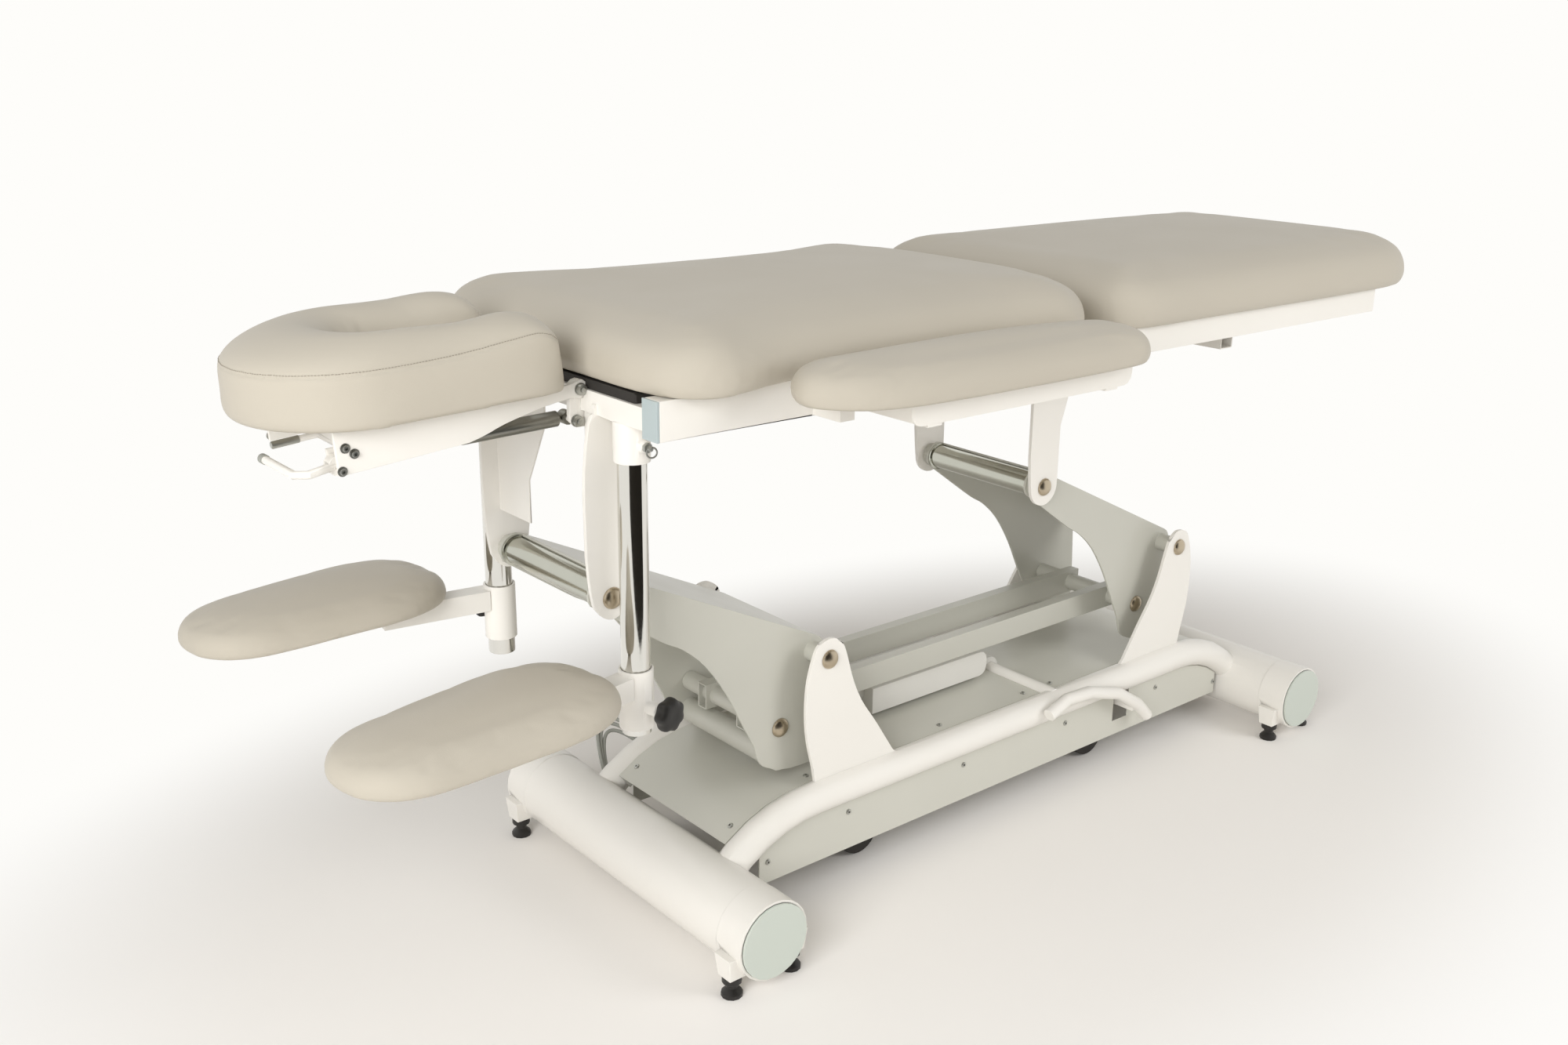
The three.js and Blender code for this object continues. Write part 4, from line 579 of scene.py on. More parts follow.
def swell(piece, voxel, most, held_below, pressure=4):
    """Remeshes the shell, swells its cover by at most this many metres, and subdivides it."""
    remesh = piece.modifiers.new("even", "REMESH")
    remesh.mode = "VOXEL"
    remesh.voxel_size = voxel
    applied(piece)
    eased(piece.data, 6)
    before = positions(piece.data)
    board = piece.vertex_groups.new(name="board")
    board.add(np.nonzero(before[:, 2] < held_below)[0].tolist(), 1, "REPLACE")
    cloth = piece.modifiers.new("cover", "CLOTH")
    for key, value in CLOTH.items():
        setattr(cloth.settings, key, value)
    cloth.settings.uniform_pressure_force = pressure
    cloth.settings.effector_weights.gravity = 0
    cloth.collision_settings.use_collision = False
    for step in range(SWELL_STEPS):
        scene.frame_set(step + 1)
        bpy.context.view_layer.update()
    applied(piece)
    scene.frame_set(1)
    moved = positions(piece.data) - before
    size = np.linalg.norm(moved, axis=1)[:, None]
    moved *= np.minimum(1, most / np.maximum(size, 1e-9))
    piece.data.vertices.foreach_set("co", (before + moved).astype(np.float32).ravel())
    piece.vertex_groups.clear()
    eased(piece.data, 3)
    print(piece.name, len(piece.data.vertices), "points, swelled", round(float(size.max() / MM), 1), "mm")
    fine = piece.modifiers.new("fine", "SUBSURF")
    fine.levels = fine.render_levels = 1
    applied(piece)
    for face in piece.data.polygons:
        face.use_smooth = True
    piece.data.materials.clear()
    piece.data.materials.append(VINYL)
    return piece


def dress(piece, body, node):
    """A finished cushion rides on its body and stands for its node."""
    belongs(piece, body, "cushion_cover", node)


# %% [markdown]
# The torso cushion is the largest: nearly straight at the foot end, drawn in at the
# waist where the arm wings fit, and rounded at the head end. Its plan is given as shares
# of its length and half width, near half and far half alike.

# %% Make the torso cushion
TORSO_HEAD, TORSO_FOOT, TORSO_HALF = -782, 27, 308
TORSO_LENGTH = TORSO_FOOT - TORSO_HEAD
FOOT_CURVE = [(0, 0.3), (0.012, 0.6), (0.045, 0.8), (0.09, 0.915), (0.135, 0.965)]
WAIST_CURVE = [(0.168, 0.965), (0.26, 0.9), (0.48, 0.873), (0.7, 0.9), (0.785, 0.925)]
HEAD_CURVE = [(0.862, 0.98), (0.898, 1), (0.945, 0.975), (0.983, 0.865), (1, 0.66), (1, 0.28)]


def both_halves(half):
    return half + [(x, -y) for x, y in reversed(half)]


torso_curve = FOOT_CURVE + WAIST_CURVE + HEAD_CURVE
torso_half = [(TORSO_FOOT - a * TORSO_LENGTH, b * TORSO_HALF) for a, b in torso_curve]
torso = board_cushion("torso_cover", both_halves(torso_half), bottom=822, thick=90, around=280)
dress(swell(torso, voxel=0.008, most=0.003, held_below=0.824), "chassis", "torso_cushion")

# %% [markdown]
# The leg cushion is a long plain pad. Its head end is nearly square against the torso,
# and its foot end is rounded more.

# %% Make the leg cushion
LEG_HEAD, LEG_FOOT, LEG_HALF = 35, 925, 287
LEG_CURVE = [(0, 0.3), (0.004, 0.66), (0.035, 0.87), (0.1, 0.965), (0.25, 1), (0.75, 1), (0.935, 0.985),
             (0.983, 0.89), (0.998, 0.66), (1, 0.3)]
leg_half = [(LEG_FOOT - a * (LEG_FOOT - LEG_HEAD), b * LEG_HALF) for a, b in LEG_CURVE]
leg = board_cushion("leg_cover", both_halves(leg_half), bottom=814, thick=100, around=280)
dress(swell(leg, voxel=0.008, most=0.003, held_below=0.816), "leg_section", "leg_cushion")

# %% [markdown]
# The two arm wings lie in the waist of the torso cushion. Seen from above each is a half
# moon: its inner edge follows the waist at a hand's gap, and its outer edge is a long
# bow with blunt ends. It is a low pad that rolls over softly all round.

# %% Make the arm wings
WING_HEAD, WING_FOOT, WING_OUTER, WING_GAP = -642, -68, 445, 10
WING_WAIST = [0.94, 0.84, 0.7, 0.56, 0.42, 0.28, 0.15, 0.07]
WING_RIM = [(0.015, 0.2), (0, 0.47), (0.012, 0.77), (0.06, 0.94), (0.2, 0.993), (0.47, 1), (0.7, 0.98),
            (0.83, 0.93), (0.92, 0.81), (0.975, 0.6), (1, 0.38), (0.985, 0.16)]
waist_shares = FOOT_CURVE[-1:] + WAIST_CURVE + HEAD_CURVE[:1]
waist_x = [TORSO_FOOT - a * TORSO_LENGTH for a, b in waist_shares][::-1]
waist_y = [b * TORSO_HALF for a, b in waist_shares][::-1]


def arm_wing(name, side):
    outline = []
    for along, out in [(a, 0) for a in WING_WAIST] + WING_RIM:
        x = WING_FOOT - along * (WING_FOOT - WING_HEAD)
        inner = np.interp(x, waist_x, waist_y) + WING_GAP
        outline.append((x, side * (inner + out * (WING_OUTER - inner))))
    return board_cushion(name, outline, bottom=812, thick=58, around=200, roll=46, slim=1.5)


for name, side in SIDES:
    wing = swell(arm_wing(f"{name}_wing_cover", side), voxel=0.005, most=0.002, held_below=0.8135)
    dress(wing, f"{name}_wing", f"{name}_wing_cushion")

# %% [markdown]
# The forearm rests are long pads with round ends, a little wider near the post. Each is
# turned outwards on its post, and sits slightly askew on its arm, as in the photograph.

# %% Make the forearm rests
POST_X, POST_Y, POST_BOTTOM = -753, 171.4, 371
REST_OFFSET, REST_LENGTH, REST_WIDTH, REST_SEAT = 258, 360, 195, 75.3
REST_TURN, REST_LIFT, REST_ASKEW = {-1: 12, 1: 8}, {-1: 8, 1: 23}, {-1: -4, 1: 14}  # by side


def rest_turn(side):
    """How far a rest's own X axis is turned, and how high its sleeve stands."""
    return math.pi - side * math.radians(REST_TURN[side]), POST_BOTTOM + REST_LIFT[side]


def on_rest(side, point):
    """A point of the rest's own drawing, placed on the table."""
    turn, lift = rest_turn(side)
    x, y, z = point
    return (POST_X + x * math.cos(turn) - y * math.sin(turn),
            side * POST_Y + x * math.sin(turn) + y * math.cos(turn), lift + z)


REST_CURVE = [(0, 0.3), (0.035, 0.6), (0.1, 0.82), (0.2, 0.96), (0.32, 1), (0.5, 0.96), (0.7, 0.91),
              (0.84, 0.83), (0.93, 0.64), (0.985, 0.36), (1, 0.15)]
pad = both_halves([((a - 0.5) * REST_LENGTH, b * REST_WIDTH / 2) for a, b in REST_CURVE])
for name, side in SIDES:
    askew = math.radians(REST_ASKEW[side])
    cos, sin = math.cos(askew), math.sin(askew)
    placed = [on_rest(side, (REST_OFFSET + x * cos - y * sin, x * sin + y * cos, 0))[:2] for x, y in pad]
    seat = rest_turn(side)[1] + REST_SEAT
    rest = board_cushion(f"{name}_rest_cover", placed, seat, thick=50, around=160, roll=44, slim=1.5)
    swell(rest, voxel=0.005, most=0.002, held_below=(seat + 1.5) / 1000)
    dress(rest, f"{name}_rest", f"{name}_rest_cushion")

# %% [markdown]
# The head cushion is a padded roll bent round the face hole. Its outer side is a plain
# band sewn to the top panel, so it has an edge there, and the inner wall runs down into
# the hole and puckers where it turns tightest. A section is swept along the horseshoe.

# %% Make the head cushion
HINGE_X, HINGE_Z, HEAD_TILT = -779, 808, math.radians(5)
HEAD_START, HEAD_END, HEAD_HALF, HOLE_HALF, HOLE_END = 33, 384, 135, 47, 236
HEAD_SEAT, HEAD_SLOPE, HEAD_LEVEL, HEAD_CROWN = 19.3, 0.047, 250, 100
# across the roll from inside to outside: width share, then 0 to 1 up the band and 1 to 2 over
HEAD_SECTION = [(-0.86, 0), (-1, 0.15), (-1, 0.6), (-0.93, 1), (-0.7, 1.58), (-0.35, 1.91), (0, 2),
                (0.45, 1.79), (0.82, 1.41), (1, 1), (1.04, 0.55), (1.05, 0.15), (0.97, 0)]
# along each side from the hinge end: place, width, crown height and band height, as shares
HEAD_RUN = [(0, 0.74, 0.74, 0.6), (0.05, 0.86, 0.86, 0.7), (0.14, 0.96, 0.95, 0.76), (0.3, 1, 1, 0.74),
            (0.6, 1, 0.97, 0.68)]
END_BAND, HEAD_SLIM = 0.645, 1.5


def on_head(point):
    """A point of the head section's own drawing, placed on the table."""
    x, y, z = point
    return (HINGE_X + x * math.cos(HEAD_TILT) - z * math.sin(HEAD_TILT), y,
            HINGE_Z + x * math.sin(HEAD_TILT) + z * math.cos(HEAD_TILT))


def horseshoe():
    """Stations along the roll: outer and inner point, width, crown and band share."""
    outer_centre, inner_centre = -(HEAD_END - HEAD_HALF), -(HOLE_END - HOLE_HALF)
    stations = []
    for along, wide, high, band in HEAD_RUN:
        outer_x = -HEAD_START + along * (outer_centre + HEAD_START)
        inner_x = -HEAD_START + along * (inner_centre + HEAD_START)
        stations.append((outer_x, -HEAD_HALF, inner_x, -HOLE_HALF, wide, high, band))
    far_side = [(a, -b, c, -d, *rest) for a, b, c, d, *rest in reversed(stations)]
    for i in range(17):
        angle = -math.pi / 2 - math.pi * i / 16
        x, y = math.cos(angle), math.sin(angle)
        stations.append((outer_centre + x * HEAD_HALF, y * HEAD_HALF,
                         inner_centre + x * HOLE_HALF, y * HOLE_HALF, 1, 1, END_BAND))
    return through(stations + far_side, 160)


def in_section(station, a, b, slim=HEAD_SLIM):
    """A place in the roll's section at one station."""
    outer_x, outer_y, inner_x, inner_y, wide, high, band = station
    span = math.hypot(outer_x - inner_x, outer_y - inner_y)
    reach = a * wide * (span / 2 - slim) / span
    x = (outer_x + inner_x) / 2 + reach * (outer_x - inner_x)
    y = (outer_y + inner_y) / 2 + reach * (outer_y - inner_y)
    share = b * band if b < 1 else band + (b - 1) * (high - band)
    return on_head((x, y, HEAD_SEAT - HEAD_SLOPE * (HEAD_LEVEL + x) + share * (HEAD_CROWN - slim)))


top = through(HEAD_SECTION, 64)
across = np.linspace(top[-1, 0], top[0, 0], 16)[1:-1]
section = np.concatenate([top, np.column_stack([across, np.zeros(len(across))])])
head = shell("head_cover", [[in_section(station, a, max(b, 0)) for a, b in section]
                            for station in horseshoe()])

# %% [markdown]
# The cover swells first. Then the inner wall gets its puckers, because remeshing would
# have flattened them: they fan out from the hole's tight end, deepest half way down.

# %% Swell and pucker the head cushion
PUCKER_DEPTH = 0.0017
swell(head, voxel=0.005, most=0.0022, held_below=0.826, pressure=3)


def in_head(place):
    """Scene points, in the head section's own drawing."""
    x = place[:, 0] * 1000 - MIDDLE - HINGE_X
    z = place[:, 2] * 1000 - HINGE_Z
    return np.column_stack([
        x * math.cos(HEAD_TILT) + z * math.sin(HEAD_TILT),
        place[:, 1] * 1000,
        -x * math.sin(HEAD_TILT) + z * math.cos(HEAD_TILT),
    ])


def pucker(piece):
    """Presses a fan of creases into the hole's wall, a sum of two waves round its tight end."""
    place = positions(piece.data)
    local = in_head(place)
    centre = -(HOLE_END - HOLE_HALF)
    x, y = local[:, 0] - centre, local[:, 1]
    away = np.hypot(x, y)
    angle = np.arctan2(y, -x)
    height = (local[:, 2] - HEAD_SEAT) / HEAD_CROWN + 0.03
    wall = np.exp(-((away - HOLE_HALF - 7) / 13) ** 2) * np.exp(-((height - 0.66) / 0.26) ** 2)
    near_end = np.clip(np.cos(angle) * 1.4 + 0.25, 0, 1)
    waves = np.cos(angle * 11 + 0.8 * np.sin(angle * 3)) + 0.5 * np.cos(angle * 19 + 1.3)
    push = -wall * near_end * waves * PUCKER_DEPTH
    out = np.column_stack([x, y]) / np.maximum(away, 1e-6)[:, None]
    place[:, 0] += (push * out[:, 0]).astype(np.float32)
    place[:, 1] += (push * out[:, 1]).astype(np.float32)
    piece.data.vertices.foreach_set("co", place.ravel())


pucker(head)

# %% [markdown]
# The seam runs along the top of the side band. It is found by laying a line on the
# outer side and pulling it onto the finished cover. Each point of the cover then stores
# how near the seam is, and the vinyl presses a fine line where that is close.

# %% Lay the seam on the head cushion
SEAM_WIDTH = 0.0026


def onto(piece, points, lift=0.0):
    """The points pulled onto a piece's surface, with the surface's direction there."""
    model = bmesh.new()
    model.from_mesh(piece.data)
    tree = BVHTree.FromBMesh(model)
    found = [tree.find_nearest(p)[:2] for p in points]
    model.free()
    return [place + facing * lift for place, facing in found], [facing for place, facing in found]


def seam_line(share, count):
    """Points just outside the roll, at a share of the band's height."""
    line = [in_section(station, 1.03, share, 0) for station in horseshoe()]
    return [at(*p) for p in through(line, count)]


seam, _ = onto(head, seam_line(1, 420))
place = positions(head.data)
nearest = np.full(len(place), 1.0)
for part in np.array_split(np.array(seam), 30):
    nearest = np.minimum(nearest, np.linalg.norm(place[:, None] - part[None], axis=2).min(1))
seam_press = head.data.attributes.new("seam", "FLOAT", "POINT")
seam_press.data.foreach_set("value", np.exp(-(nearest / SEAM_WIDTH) ** 2).astype(np.float32))
dress(head, "head_section", "head_cushion")
print("seam", round(sum((b - a).length for a, b in zip(seam, seam[1:])), 3), "m long")

# %% [markdown]
# Stitches, screws and bolts repeat, so one Geometry Nodes tree sets them all. It takes
# a cloud of points, each with the way it faces and the way it lies, and puts one small
# shape on every point. The result is turned into a plain mesh at once.

# %% Build the tree that sets small parts on points
SET_INPUTS = {"Places": "Geometry", "Shape": "Object", "Finish": "Material", "Size": "Float"}


def setting_tree():
    """The tree, and the identifier of each of its named inputs."""
    tree = bpy.data.node_groups.new("set_on_points", "GeometryNodeTree")
    sockets = {}
    for title, kind in SET_INPUTS.items():
        made = tree.interface.new_socket(title, in_out="INPUT", socket_type="NodeSocket" + kind)
        sockets[title] = made.identifier
    tree.interface.new_socket("Set", in_out="OUTPUT", socket_type="NodeSocketGeometry")

    def add(kind, settings=None, inputs=None):
        return add_node(tree, kind, settings, inputs)

    given = add("NodeGroupInput")
    shape = add("GeometryNodeObjectInfo", {}, {"Object": given.outputs["Shape"], "As Instance": True})
    facing = add("GeometryNodeInputNamedAttribute", {"data_type": "FLOAT_VECTOR"}, {"Name": "facing"})
    lying = add("GeometryNodeInputNamedAttribute", {"data_type": "FLOAT_VECTOR"}, {"Name": "lying"})
    stand = add("FunctionNodeAlignRotationToVector", {"axis": "Z"}, {"Vector": facing.outputs[0]})
    turn = add("FunctionNodeAlignRotationToVector", {"axis": "X", "pivot_axis": "Z"},
               {"Rotation": stand.outputs[0], "Vector": lying.outputs[0]})
    placed = add("GeometryNodeInstanceOnPoints", {}, {
        "Points": given.outputs["Places"],
        "Instance": shape.outputs["Geometry"],
        "Rotation": turn.outputs[0],
        "Scale": given.outputs["Size"],
    })
    real = add("GeometryNodeRealizeInstances", {}, {"Geometry": placed.outputs[0]})
    coated = add("GeometryNodeSetMaterial", {},
                 {"Geometry": real.outputs[0], "Material": given.outputs["Finish"]})
    add("NodeGroupOutput", {}, {"Set": coated.outputs[0]})
    return tree, sockets


SETTER, SETTER_SOCKETS = setting_tree()


def set_on(name, shape, places, finish, body, slot, size=1.0):
    """Sets a small shape on places, each (point, facing, lying), as one plain mesh on a body."""
    made = piece_of(name, [point for point, _, _ in places], [])
    for title, index in (("facing", 1), ("lying", 2)):
        held = made.data.attributes.new(title, "FLOAT_VECTOR", "POINT")
        held.data.foreach_set("vector", [v for row in places for v in row[index]])
    nodes = made.modifiers.new("set", "NODES")
    nodes.node_group = SETTER
    nodes[SETTER_SOCKETS["Shape"]] = shape
    nodes[SETTER_SOCKETS["Finish"]] = finish
    nodes[SETTER_SOCKETS["Size"]] = size
    belongs(applied(made), body, slot)
    print(name, len(places), "set")


# %% [markdown]
# A stitch is a short thread that dives at both ends. The screws are turned profiles: a
# pan head is a low dome with a hexagon socket, and a cap screw is a drum on a washer.

# %% Turn the small shapes


def turned(name, profile, sides, socket=()):
    """A profile of (radius, height) in mm turned about Z. Rows named in socket are hexagons."""
    points = []
    for row, (radius, height) in enumerate(profile):
        for i in range(sides):
            angle = 2 * math.pi * i / sides
            reach = radius * MM
            if row in socket:
                corner = (angle + math.pi / 6) % (math.pi / 3) - math.pi / 6
                reach = reach * math.cos(math.pi / 6) / math.cos(corner)
            points.append((reach * math.cos(angle), reach * math.sin(angle), height * MM))
    made = solid(name, points, ring_faces(len(profile), sides), 1e-7, fill=True)
    made.data.set_sharp_from_angle(angle=math.radians(35))
    return made


PAN_SCREW = [(2, 0.6), (2, 2.1), (3, 2.2), (4, 1.6), (4.5, 0.7), (4.5, -0.4)]
CAP_SCREW = [(2.4, 2.6), (2.4, 5), (4.2, 5), (4.8, 4.4), (4.8, 1.2), (7.2, 1.2), (7.2, -0.3)]
pan_screw = turned("pan_screw", PAN_SCREW, 18, (0, 1))
cap_screw = turned("cap_screw", CAP_SCREW, 24, (0, 1))
thread = []
for t in (i / 6 * 2 - 1 for i in range(7)):
    for turn in (math.pi * k / 3 for k in range(6)):
        wide = 0.00045 * math.sqrt(max(0.02, 1 - t**4))
        thread.append((t * 0.0017, wide * math.cos(turn), wide * math.sin(turn) + 0.0003 - 0.0008 * t * t))
ends = [tuple(range(5, -1, -1)), tuple(range(36, 42))]
stitch = piece_of("stitch", thread, ring_faces(7, 6) + ends)
THREAD = moulded("seam_thread", (150, 143, 130), (160, 153, 140), 0.7, 3000, 0.00002)

# %% [markdown]
# One row of stitches runs just above the seam, about four millimetres apart.

# %% Sew the head cushion
row, facing = onto(head, seam_line(1.09, 240), 0.0001)
row_places = [(row[i], facing[i], (row[i + 1] - row[i - 1]).normalized()) for i in range(2, len(row) - 2)]
set_on("seam_stitches", stitch, row_places, THREAD, "head_section", "cushion_cover")

# %% [markdown]
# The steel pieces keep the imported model's form. A copy of each is merged, its longer sharp
# edges are rounded by under a millimetre, as filing and powder coat leave them, and round
# faces are shaded smooth, because real edges catch light.

# %% Round the edges of the steel pieces
SHARP, EDGE_ROUND, LEAST_EDGE = math.radians(33), 0.9 * MM, 5 * MM


def eased_edges(node, finish, slot):
    """A copy of a CAD node with its longer sharp edges rounded, standing in for it."""
    source = frame["nodes"][node]
    mesh = source.data.copy()
    mesh.name = node + "_coated"
    model = bmesh.new()
    model.from_mesh(mesh)
    bmesh.ops.remove_doubles(model, verts=model.verts, dist=1e-5)
    bmesh.ops.dissolve_limit(model, angle_limit=math.radians(0.4), verts=model.verts, edges=model.edges)
    bends = [e for e in model.edges
             if len(e.link_faces) == 2 and e.calc_face_angle(0) > SHARP and e.calc_length() > LEAST_EDGE]
    bmesh.ops.bevel(model, geom=bends, offset=EDGE_ROUND, segments=2, profile=0.6, affect="EDGES",
                    clamp_overlap=False)
    wide = [face for face in model.faces if len(face.verts) > 4]
    bmesh.ops.triangulate(model, faces=wide, ngon_method="EAR_CLIP")
    for face in model.faces:
        face.smooth = True
    model.to_mesh(mesh)
    model.free()
    mesh.set_sharp_from_angle(angle=SHARP)
    mesh.materials.clear()
    mesh.materials.append(finish)
    made = bpy.data.objects.new(node + "_coated", mesh)
    scene.collection.objects.link(made)
    weighted = made.modifiers.new("even_light", "WEIGHTED_NORMAL")
    weighted.keep_sharp = True
    belongs(applied(made), source["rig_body"], slot, node)
    return made


FINISHES = [
    (WHITE, "white_paint", "base_frame top_frame leg_frame near_wing_frame far_wing_frame head_frame"
     " head_release_handle near_rest_arm far_rest_arm castor_pedal castor_carriage"),
    (GREY, "grey_paint", "head_lift_arm foot_lift_arm drag_link"),
    (SHEET, "pale_grey_covers", "near_side_panel far_side_panel floor_pan"),
    (BOX_WHITE, "pale_grey_covers", "actuator_body"),
    (CAP, "pale_grey_covers", "near_rail_cap far_rail_cap"),
    (BOX_WHITE, "white_plastic", "control_box"),
    (STEEL, "steel_pins", "actuator_rod"),
    (GAS_STEEL, "steel_pins", "gas_spring_body"),
    (CHROME, "steel_pins", "gas_spring_rod"),
    (CHROME, "chrome_posts", "near_rest_post far_rest_post"),
]
for corner in ("head_near", "head_far", "foot_near", "foot_far"):
    FINISHES.append((DISC, "pale_grey_covers", corner + "_end_disc"))
    FINISHES.append((RUBBER, "castor_rubber", corner + "_castor"))
FINISHES += [(BLACK, "black_plastic", f"foot_{number}") for number in range(1, 9)]
coated = [eased_edges(node, finish, slot) for finish, slot, nodes in FINISHES for node in nodes.split()]
print("coated", len(coated), "pieces,", sum(len(o.data.polygons) for o in coated), "faces")

# %% [markdown]
# Round parts that the camera sees close by are turned afresh with many sides: the pins'
# domed heads, the polished pivot tubes, the plated rod and the grip's end cap.

# %% Turn the pins and tubes


def standing(piece, base, axis, finish, body, slot, node=None):
    """Moves a turned shape onto a drawing point, along an axis, and gives it to a body."""
    turn = Vector(axis).to_track_quat("Z", "Y").to_matrix().to_4x4()
    piece.data.transform(Matrix.Translation(at(*base)) @ turn)
    piece.data.materials.append(finish)
    belongs(piece, body, slot, node)


DOME, DOME_RISE, PIN = 14.5, 8, 7
for end in ("head", "foot"):
    for kind in ("base", "top", "link"):
        node = f"{end}_{kind}_pivot_pin"
        low, high = [Vector(corner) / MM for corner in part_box(node)]
        half = high.y - DOME_RISE
        rows = [(DOME * math.sin(a), half + DOME_RISE * math.cos(a)) for a in np.linspace(0, math.pi / 2, 9)]
        rows += [(DOME - 0.5, half - 0.02), (PIN, half - 0.04)]
        rows += [(r, -h) for r, h in reversed(rows)]
        middle = (low + high) / 2
        standing(turned(node + "_turned", rows, 40), (middle.x - MIDDLE, 0, middle.z), (0, 1, 0),
                 STEEL, frame["nodes"][node]["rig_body"], "steel_pins", node)

TUBE_HALF = [(19.1, 107.8), (22.2, 107.8), (22.2, 104.2), (19.4, 103.6)]
TUBE_ROWS = [(r, -h) for r, h in TUBE_HALF] + TUBE_HALF[::-1]
for end, x in (("head", -759.3), ("foot", 63.2)):
    tube = turned(f"{end}_pivot_tube_skin", TUBE_ROWS, 48)
    standing(tube, (x, 0, 541.7), (0, 1, 0), TUBE, f"{end}_arm", "steel_pins")

ROD_ROWS = [(4.1, 0), (4.5, 0), (4.5, 31), (3.7, 32.3), (0, 32.4)]
GRIP_ROWS = [(5.1, 0), (5.8, 0.3), (5.8, 10), (4.6, 11.6), (0, 12)]
rod_axis = Vector(on_head((-2, 0, 0))) - Vector(on_head((-1, 0, 0)))
standing(turned("release_rod_plating", ROD_ROWS, 24), on_head((-316, 0, -7)), rod_axis,
         ZINC, "head_section", "steel_pins")
standing(turned("release_grip_cap", GRIP_ROWS, 24), on_head((-355, 6, -24)), (0, 1, 0),
         SHEATH, frame["nodes"]["head_release_handle"]["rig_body"], "black_plastic")

# %% [markdown]
# The clamp knobs are moulded stars with seven soft lobes, so they are rings of points
# drawn in between the lobes. The pull pins have a hexagon collar and a hanging ring.

# %% Mould the knobs and bend the rings
# radius, and distance from the post's axis
KNOB = [(4, 21), (4, 46), (9, 46.3), (16, 47.2), (20.8, 49.6), (22.3, 53), (22.4, 59), (21.2, 62.8),
        (17, 65.2), (9, 66), (3, 65.6)]
LOBES, LOBE_DEPTH, KNOB_SIDES = 7, 0.11, 84
PULL_ROWS = [(3, 0), (3, 13.4), (6.4, 13.4), (6.8, 14.4), (6.8, 17.4), (6.2, 18.4), (3.2, 18.6), (3.2, 24.2),
             (2.2, 25.2), (0, 25.3)]
HOOP_RADIUS, HOOP_WIRE, HOOP_STEPS = 6.4, 1.15, 48


def knob_rings(side):
    """Rings over a knob's back, rim and face, drawn in between the lobes."""
    rings = []
    for radius, away in through(KNOB, 36):
        ring = []
        for angle in (2 * math.pi * i / KNOB_SIDES for i in range(KNOB_SIDES)):
            edge = min(1, max(0, (radius - 11) / 8))
            reach = radius * (1 - LOBE_DEPTH * (0.5 - 0.5 * math.cos(LOBES * angle)) * edge)
            ring.append(on_rest(side, (reach * math.cos(angle), -side * away, 31 + reach * math.sin(angle))))
        rings.append(ring)
    return rings


def hoop_rings(side):
    """Rings along the wire of a pull pin's ring, which hangs slightly turned."""
    rings = []
    flat = Vector((0.36 * -side, 0.93, 0))
    for turn in (2 * math.pi * i / HOOP_STEPS for i in range(HOOP_STEPS + 1)):
        out = Vector((math.sin(turn) * 0.93, side * math.sin(turn) * 0.36, math.cos(turn)))
        centre = Vector((POST_X + 2, side * 210.4, 747)) + out * HOOP_RADIUS
        rings.append([centre + (out * math.cos(a) + flat * math.sin(a)) * HOOP_WIRE
                      for a in np.linspace(0, 2 * math.pi, 10, endpoint=False)])
    return rings


for name, side in SIDES:
    knob = shell(f"{name}_star_knob", knob_rings(side), BLACK)
    belongs(knob, f"{name}_knob", "black_plastic", f"{name}_clamp_knob")
    pull = turned(f"{name}_pull_stem", PULL_ROWS, 30, (2, 3, 4, 5))
    standing(pull, (POST_X, side * 188.4, 752), (0, side, 0),
             ZINC, f"{name}_pin", "steel_pins", f"{name}_pull_pin")
    belongs(shell(f"{name}_pull_ring", hoop_rings(side), ZINC, caps=False), f"{name}_pin", "steel_pins")
print("knobs and pull rings made")

# %% [markdown]
# Screws and nuts sit where the photograph shows them. Each place is a point beside the
# table and a direction: the line between meets the piece, and the screw stands there.

# %% Drive the screws
LYING = Vector((0.8, 0, 0.6))
trees = {}


def seat(node, point, direction):
    """Where a line from a drawing point meets a piece, the way that faces, and a way to lie."""
    if node not in trees:
        model = bmesh.new()
        model.from_mesh(frame["nodes"][node].data)
        trees[node] = BVHTree.FromBMesh(model)
        model.free()
    place, facing, _, _ = trees[node].ray_cast(at(*point), Vector(direction))
    return place, facing, Vector((1, 0, 0)) if direction[2] else LYING


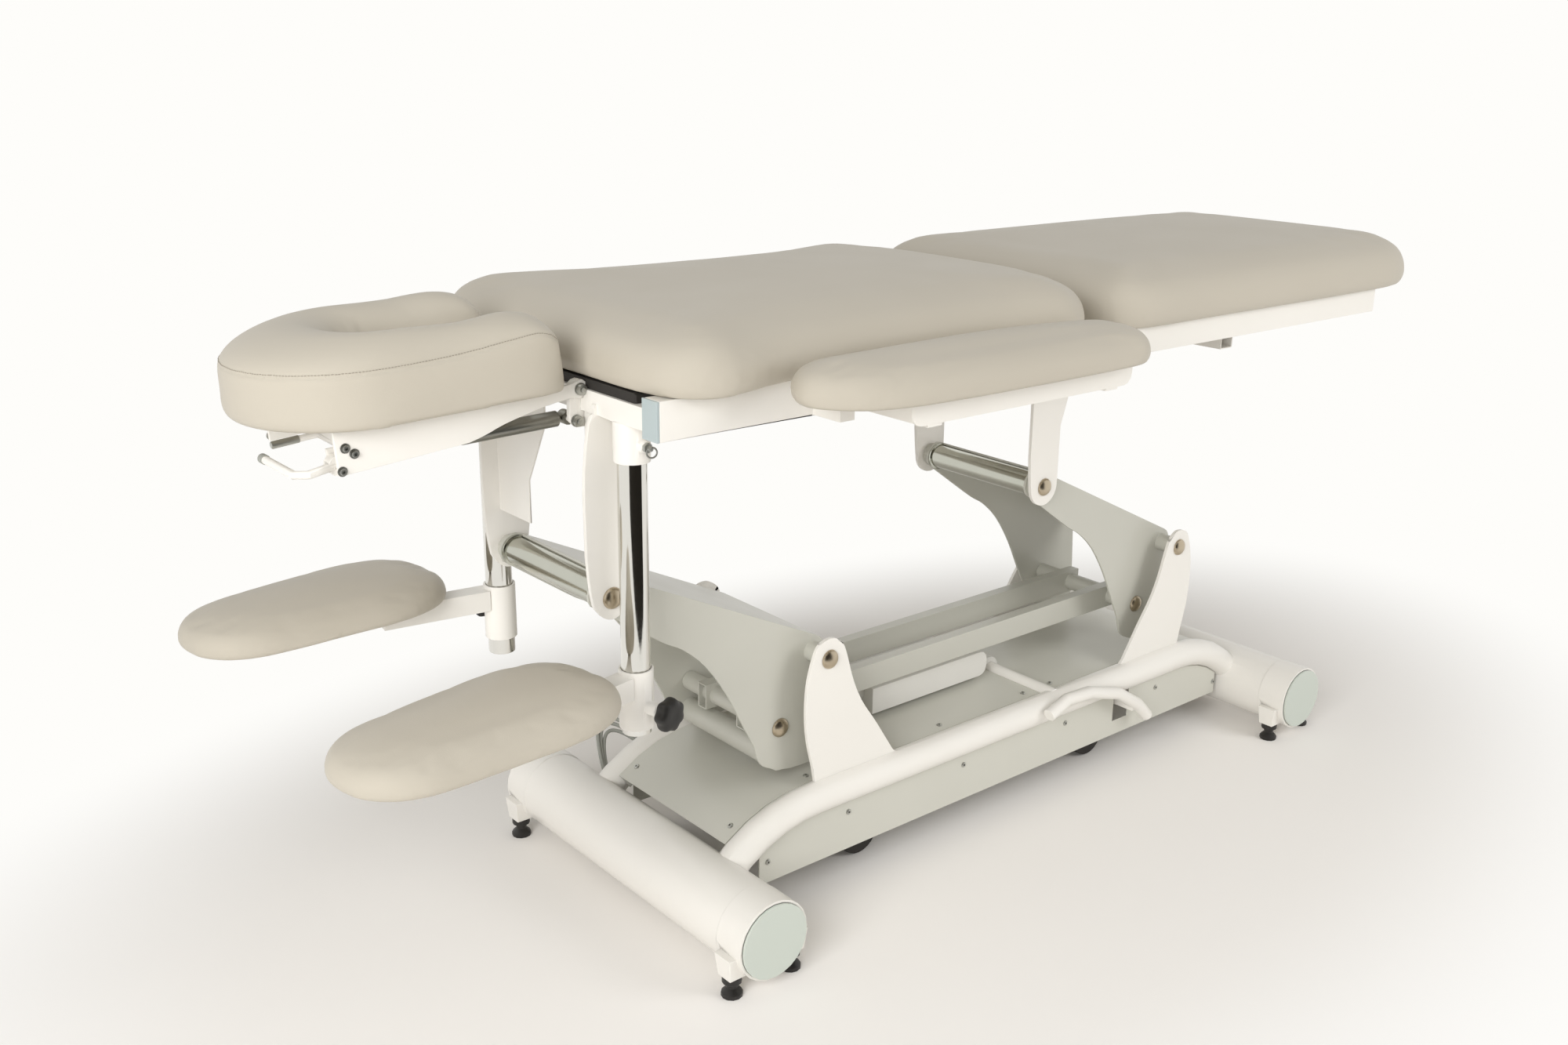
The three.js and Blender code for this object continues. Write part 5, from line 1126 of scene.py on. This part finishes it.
PANEL_SCREWS = [(-525, 92), (-370, 120), (-123, 120), (125, 120), (373, 118), (553, 81)]
PAN_SCREWS = [-560, -419, -139, 60, 128]
PLATE_SCREWS = [(-1081.6, 781.6), (-1071.3, 774.0), (-1086.5, 755.9)]
HINGE_NUTS = [(-779, 100.4, 808), (-782, 94.9, 768)]
NUT = [(7.4, -0.3), (7.8, 0), (7.8, 1.3), (6.6, 1.4), (7.2, 2), (7.2, 6.4), (6.4, 7.2), (3.4, 7.2), (3.4, 9),
       (2.6, 9.8), (0, 9.9)]
nut = turned("nut", NUT, 30, (4, 5))
for name, side in SIDES:
    rows = [seat(f"{name}_side_panel", (x, side * 400, z), (0, -side, 0)) for x, z in PANEL_SCREWS]
    set_on(f"{name}_panel_screws", pan_screw, rows, ZINC, "base", "steel_pins")
    rows = [seat("head_frame", (x, side * 200, z), (0, -side, 0)) for x, z in PLATE_SCREWS]
    set_on(f"{name}_plate_screws", cap_screw, rows, ZINC, "head_section", "steel_pins", 0.8)
    rows = [(at(x, side * y, z), Vector((0, side, 0)), LYING) for x, y, z in HINGE_NUTS]
    set_on(f"{name}_hinge_nuts", nut, rows, ZINC, "chassis", "steel_pins")
rows = [seat("floor_pan", (x, y, 400), (0, 0, -1)) for x in PAN_SCREWS for y in (-118, 118)]
set_on("pan_screws", pan_screw, [row for row in rows if row[0]], ZINC, "base", "steel_pins")

# %% [markdown]
# A black strip lies on the head crossbeam under the torso cushion's edge. Its black is painted shade for the
# dark gap under the cushion there.

# %% Lay the black strip of painted shade
STRIP_HEAD, STRIP_FOOT, STRIP_LOW, STRIP_TOP, STRIP_HALF = -771, -738, 808.5, 820.6, 207
strip_rings = []
for y, inset in ((-STRIP_HALF, 2), (3 - STRIP_HALF, 0), (STRIP_HALF - 3, 0), (STRIP_HALF, 2)):
    first, last, top = STRIP_HEAD + inset, STRIP_FOOT - inset, STRIP_TOP - inset
    strip_rings.append([(first, y, STRIP_LOW), (last, y, STRIP_LOW), (last, y, top), (first, y, top)])
# The strip's black paints the shade in the gap under the torso cushion.
strip = shell("head_beam_strip", strip_rings, RUBBER)
strip.data.set_sharp_from_angle(angle=math.radians(30))
belongs(strip, "chassis", "black_plastic")

# %% [markdown]
# The small shapes that were set on points aren't pieces themselves, so they go.

# %% Clear the bench and finish
for shape in (pan_screw, cap_screw, nut, stitch):
    bpy.data.objects.remove(shape)
